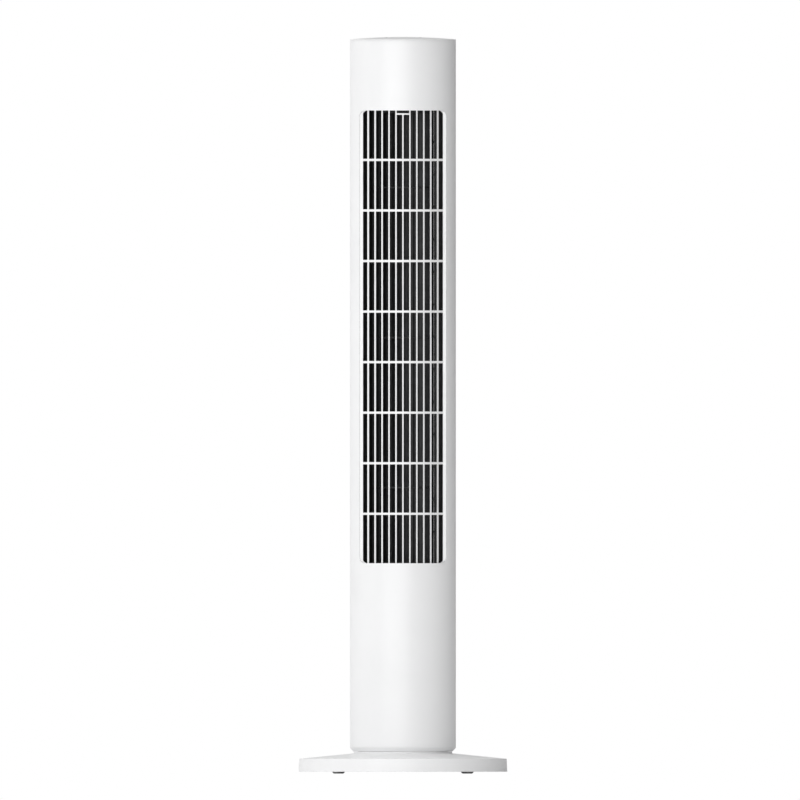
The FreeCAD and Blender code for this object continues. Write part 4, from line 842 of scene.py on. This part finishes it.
def makeBaseShell():
    low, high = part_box("base_shell")[0].z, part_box("base_shell")[1].z
    rimTop = low + base["rimHeight"]
    neck = columnRadius - tray["chamfer"]
    innerRim = baseRadius - base["wall"]
    well, edge = base["well"], base["raceRounding"]
    wellOuter = well + base["wall"]
    raceFloor = high - base["raceDepth"]
    bm = turned([
        (baseRadius, low, base["footRounding"]), (baseRadius - base["draft"], rimTop, base["rimRounding"]),
        (neck, rimTop + base["coneRise"], base["coneRounding"]), (neck, high, base["neckRounding"]),
        (base["raceOuter"], high, edge), (base["raceOuter"], raceFloor, 0),
        (base["raceInner"], raceFloor, 0), (base["raceInner"], high, edge), (well, high, edge),
        (well, low + base["wellTop"], 0),
        (base["bore"], low + base["wellTop"], 0), (base["bore"], low + base["wellUnder"], 0),
        (wellOuter, low + base["wellUnder"], 0), (wellOuter, high - base["roof"], 0),
        (neck, high - base["roof"], 0), (innerRim - base["lean"], rimTop - base["wall"], 0),
        (innerRim, low, base["innerRounding"]),
    ])
    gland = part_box("cable_gland")
    middle = (gland[0] + gland[1]) / 2
    radius = base["glandHole"]
    place = Matrix.Translation((middle.x, baseRadius - base["glandInset"], middle.z))
    along = place @ Matrix.Rotation(math.radians(90), 4, "X")
    hole = bmesh.new()
    bmesh.ops.create_cone(hole, cap_ends=True, segments=48, radius1=radius, radius2=radius,
                          depth=base["glandReach"], matrix=along)
    makePiece("baseShell", carved(bm, hole), "base", "white_plastic", ["base_shell"])


makeBottomTray()
makeBaseShell()
print("tray and base done")


foot = {
    "count": 4,
    "circle": 0.136,
    "radius": 0.0097,
    "taper": 0.0021,
    "rounding": 0.0011,
    "bore": 0.0004,
    "dish": (0.0022, 0.003),        # a dish in the middle, then a ring, then a groove
    "groove": (0.0042, 0.005, 0.0056, 0.0062),
    "grooveDepth": 0.0005,
    "edge": 0.0002,
    "facets": 64,
}


def makeFeet():
    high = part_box("foot_pads")[1].z
    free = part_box("base_shell")[0].z
    deep, edge = foot["grooveDepth"], foot["edge"]
    dishInner, dishOuter = foot["dish"]
    grooveStart, grooveIn, grooveOut, grooveEnd = foot["groove"]
    profile = [
        (foot["bore"], deep, 0), (dishInner, deep, edge), (dishOuter, 0, edge), (grooveStart, 0, edge),
        (grooveIn, deep, edge), (grooveOut, deep, edge), (grooveEnd, 0, edge),
        (foot["radius"] - foot["taper"], 0, foot["rounding"]), (foot["radius"], free, edge),
        (foot["radius"], high, 0), (foot["bore"], high, 0),
    ]
    for i in range(foot["count"]):
        angle = math.radians(45 + 360 * i / foot["count"])
        centre = (foot["circle"] * math.cos(angle), foot["circle"] * math.sin(angle), 0)
        bm = turned(profile, foot["facets"], centre)
        makePiece("foot%d" % (i + 1), bm, "base", "grey_rubber", ["foot_pads"])


makeFeet()
print("feet done")


top = {
    "rise": 0.0036,
    "rounding": 0.0007,
    "panel": 0.050,
    "panelGap": 0.00015,
    "panelDepth": 0.0016,
    "panelEdge": 0.00015,
    "recessFloor": 0.0004,
    "recessEdge": 0.0002,
    "underside": 0.0016,
    "opening": 0.012,
    "spigotEdge": 0.0003,
    "lensHalf": (0.019, 0.009),
    "lensCorner": 0.005,
    "lensDepth": 0.0024,
    "lensBlank": 0.03,
}
domeSphere = (columnRadius ** 2 + top["rise"] ** 2) / (2 * top["rise"])
domeFoot = domeTop - top["rise"]


def domeHeight(radius):
    return domeTop - domeSphere + math.sqrt(domeSphere ** 2 - radius ** 2)


def domePoints(inner, outer, count, lowered=0.0):
    radii = [inner + (outer - inner) * i / count for i in range(count + 1)]
    return [(radius, domeHeight(radius) - lowered, 0) for radius in radii]


def makeTopCap():
    recess = top["panel"] + top["panelGap"]
    recessFloor = domeFoot - top["recessFloor"]
    spigot = shell["spigot"]
    spigotInner = spigot - shell["spigotWall"]
    spigotBottom = capBottom - shell["spigotHeight"]
    outline = [(top["opening"], recessFloor, 0), (recess, recessFloor, 0),
               (recess, domeHeight(recess), top["recessEdge"])]
    outline += domePoints(recess, columnRadius, 8)[1:-1]
    outline += [
        (columnRadius, domeFoot, top["rounding"]), (columnRadius, capBottom, shell["seamEdge"]),
        (spigot, capBottom, 0), (spigot, spigotBottom, top["spigotEdge"]),
        (spigotInner, spigotBottom, top["spigotEdge"]), (spigotInner, domeFoot - top["underside"], 0),
        (top["opening"], domeFoot - top["underside"], 0),
    ]
    makePiece("topCap", turned(outline), "column", "white_plastic", ["top_cap"])


def lensBlock(grow):
    # the lens's outline as a block through the dome
    spare = 0.01
    bm = bmesh.new()
    halfX, halfY = top["lensHalf"][0] + grow, top["lensHalf"][1] + grow
    corner = top["lensCorner"] + grow
    roundedFace(bm, [(-halfX, -halfY, corner), (halfX, -halfY, corner), (halfX, halfY, corner),
                     (-halfX, halfY, corner)], 10)
    upright = Matrix.Rotation(math.radians(90), 3, "X")
    bmesh.ops.rotate(bm, verts=bm.verts[:], cent=(0, 0, 0), matrix=upright)
    bmesh.ops.translate(bm, verts=bm.verts[:], vec=(0, 0, domeFoot - spare))
    return extruded(bm, (0, 0, top["rise"] + 2 * spare))


def domeDisc(radius, depth):
    # a disc as thick as depth under the dome's surface, closed at its middle
    outline = domePoints(0.0, radius, 10) + domePoints(0.0, radius, 10, depth)[::-1]
    bm = bmesh.new()
    verts = [bm.verts.new((r, 0, z)) for r, z, rounding in outline]
    edges = [bm.edges.new(pair) for pair in zip(verts, verts[1:] + verts[:1])]
    axisEdge = [e for e in edges if all(v.co.x < 1e-9 for v in e.verts)]
    bmesh.ops.delete(bm, geom=axisEdge, context="EDGES_FACES")
    bmesh.ops.spin(bm, geom=bm.verts[:] + bm.edges[:], cent=(0, 0, 0), axis=(0, 0, 1), angle=math.tau,
                   steps=facets // 2, use_merge=True)
    bmesh.ops.remove_doubles(bm, verts=bm.verts[:], dist=1e-6)
    return tidied(bm)


def makeTouchPanel():
    bm = carved(domeDisc(top["panel"], top["panelDepth"]), lensBlock(top["panelGap"]))
    softened(bm, top["panelEdge"], 2)
    makePiece("touchPanel", bm, "column", "white_plastic", ["touch_panel"])


def makeDisplayLens():
    lens = carved(domeDisc(top["lensBlank"], top["lensDepth"]), lensBlock(0), "INTERSECT")
    softened(lens, top["panelEdge"], 2)
    makePiece("displayLens", lens, "column", "smoked_lens", ["display_lens"], sharpAngle=50)


mark = {
    "circle": 0.036,      # the marks' middles lie on this circle
    "size": 0.0028,
    "line": 0.00045,
    "thickness": 0.00012,
    "sunk": 0.00006,
}


def ontoDome(bm, lift):
    # lays a flat mark on the dome
    for v in bm.verts:
        v.co.z += domeHeight(math.hypot(v.co.x, v.co.y)) + lift
    return bm


def addArc(bm, radius, startAngle, sweep):
    # a flat line along a circle; a full one closes on itself
    inner, outer, thick = radius - mark["line"] / 2, radius + mark["line"] / 2, mark["thickness"]
    verts = [bm.verts.new((r, 0, z)) for r, z in ((inner, 0), (outer, 0), (outer, thick), (inner, thick))]
    turn = Matrix.Rotation(math.radians(startAngle), 3, "Z")
    bmesh.ops.rotate(bm, verts=verts, cent=(0, 0, 0), matrix=turn)
    face = bm.faces.new(verts)
    full = sweep >= 360
    geometry = verts + list(face.edges) + ([] if full else [face])
    if full:
        bmesh.ops.delete(bm, geom=[face], context="FACES_ONLY")
    bmesh.ops.spin(bm, geom=geometry, cent=(0, 0, 0), axis=(0, 0, 1), angle=math.radians(sweep),
                   steps=max(6, int(sweep / 12)), use_merge=full)


def speedMark(bm, size, line, thick):
    # three rising columns
    for i in range(3):
        left = -size + i * size * 0.8
        height = size * (0.1 + 0.45 * i)
        addBlock(bm, (left, -size * 0.8, 0), (left + 3 * line, height, thick))


def powerMark(bm, size, line, thick):
    addArc(bm, size, 120, 300)
    addBlock(bm, (-line / 2, size * 0.25, 0), (line / 2, size * 1.25, thick))


def timerMark(bm, size, line, thick):
    addArc(bm, size, 0, 360)
    addBlock(bm, (-line / 2, 0, 0), (line / 2, size * 0.7, thick))
    addBlock(bm, (0, -line / 2, 0), (size * 0.6, line / 2, thick))


def swingMark(bm, size, line, thick):
    addArc(bm, size, 200, 140)
    addArc(bm, size * 0.45, 0, 360)


def makeMarks():
    # generic marks beside the touch keys
    drawings = {"speed": speedMark, "power": powerMark, "timer": timerMark, "swing": swingMark}
    for i, (kind, draw) in enumerate(drawings.items()):
        bm = bmesh.new()
        draw(bm, mark["size"], mark["line"], mark["thickness"])
        bmesh.ops.recalc_face_normals(bm, faces=bm.faces[:])
        angle = math.radians(45 + 90 * i)
        place = (mark["circle"] * math.cos(angle), mark["circle"] * math.sin(angle), 0)
        bmesh.ops.translate(bm, verts=bm.verts[:], vec=place)
        makePiece(kind + "Mark", ontoDome(bm, -mark["sunk"]), "column", "white_plastic", finish=ink)


digit = {"height": 0.0075, "width": 0.0042, "line": 0.0009, "gap": 0.0072, "thickness": 0.0003}


def makeDigits():
    # two unlit seven-segment digits under the lens
    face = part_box("digit_display")[1].z
    lit = face + digit["thickness"]
    width, height, line = digit["width"], digit["height"], digit["line"]
    inset = line * 0.6      # leaves a gap between a digit's segments
    bm = bmesh.new()
    for centre in (-digit["gap"] / 2, digit["gap"] / 2):
        left, right = centre - width / 2, centre + width / 2
        for y in (-height / 2, 0, height / 2):
            addBlock(bm, (left + inset, y - line / 2, face), (right - inset, y + line / 2, lit))
        for x in (left, right):
            for y in (-height / 2, 0):
                addBlock(bm, (x - line / 2, y + inset, face), (x + line / 2, y + height / 2 - inset, lit))
    bmesh.ops.recalc_face_normals(bm, faces=bm.faces[:])
    makePiece("digitSegments", bm, "column", "black_plastic", finish=segmentFinish)


makeTopCap()
makeTouchPanel()
makeDisplayLens()
makeMarks()
makeDigits()
print("top done")
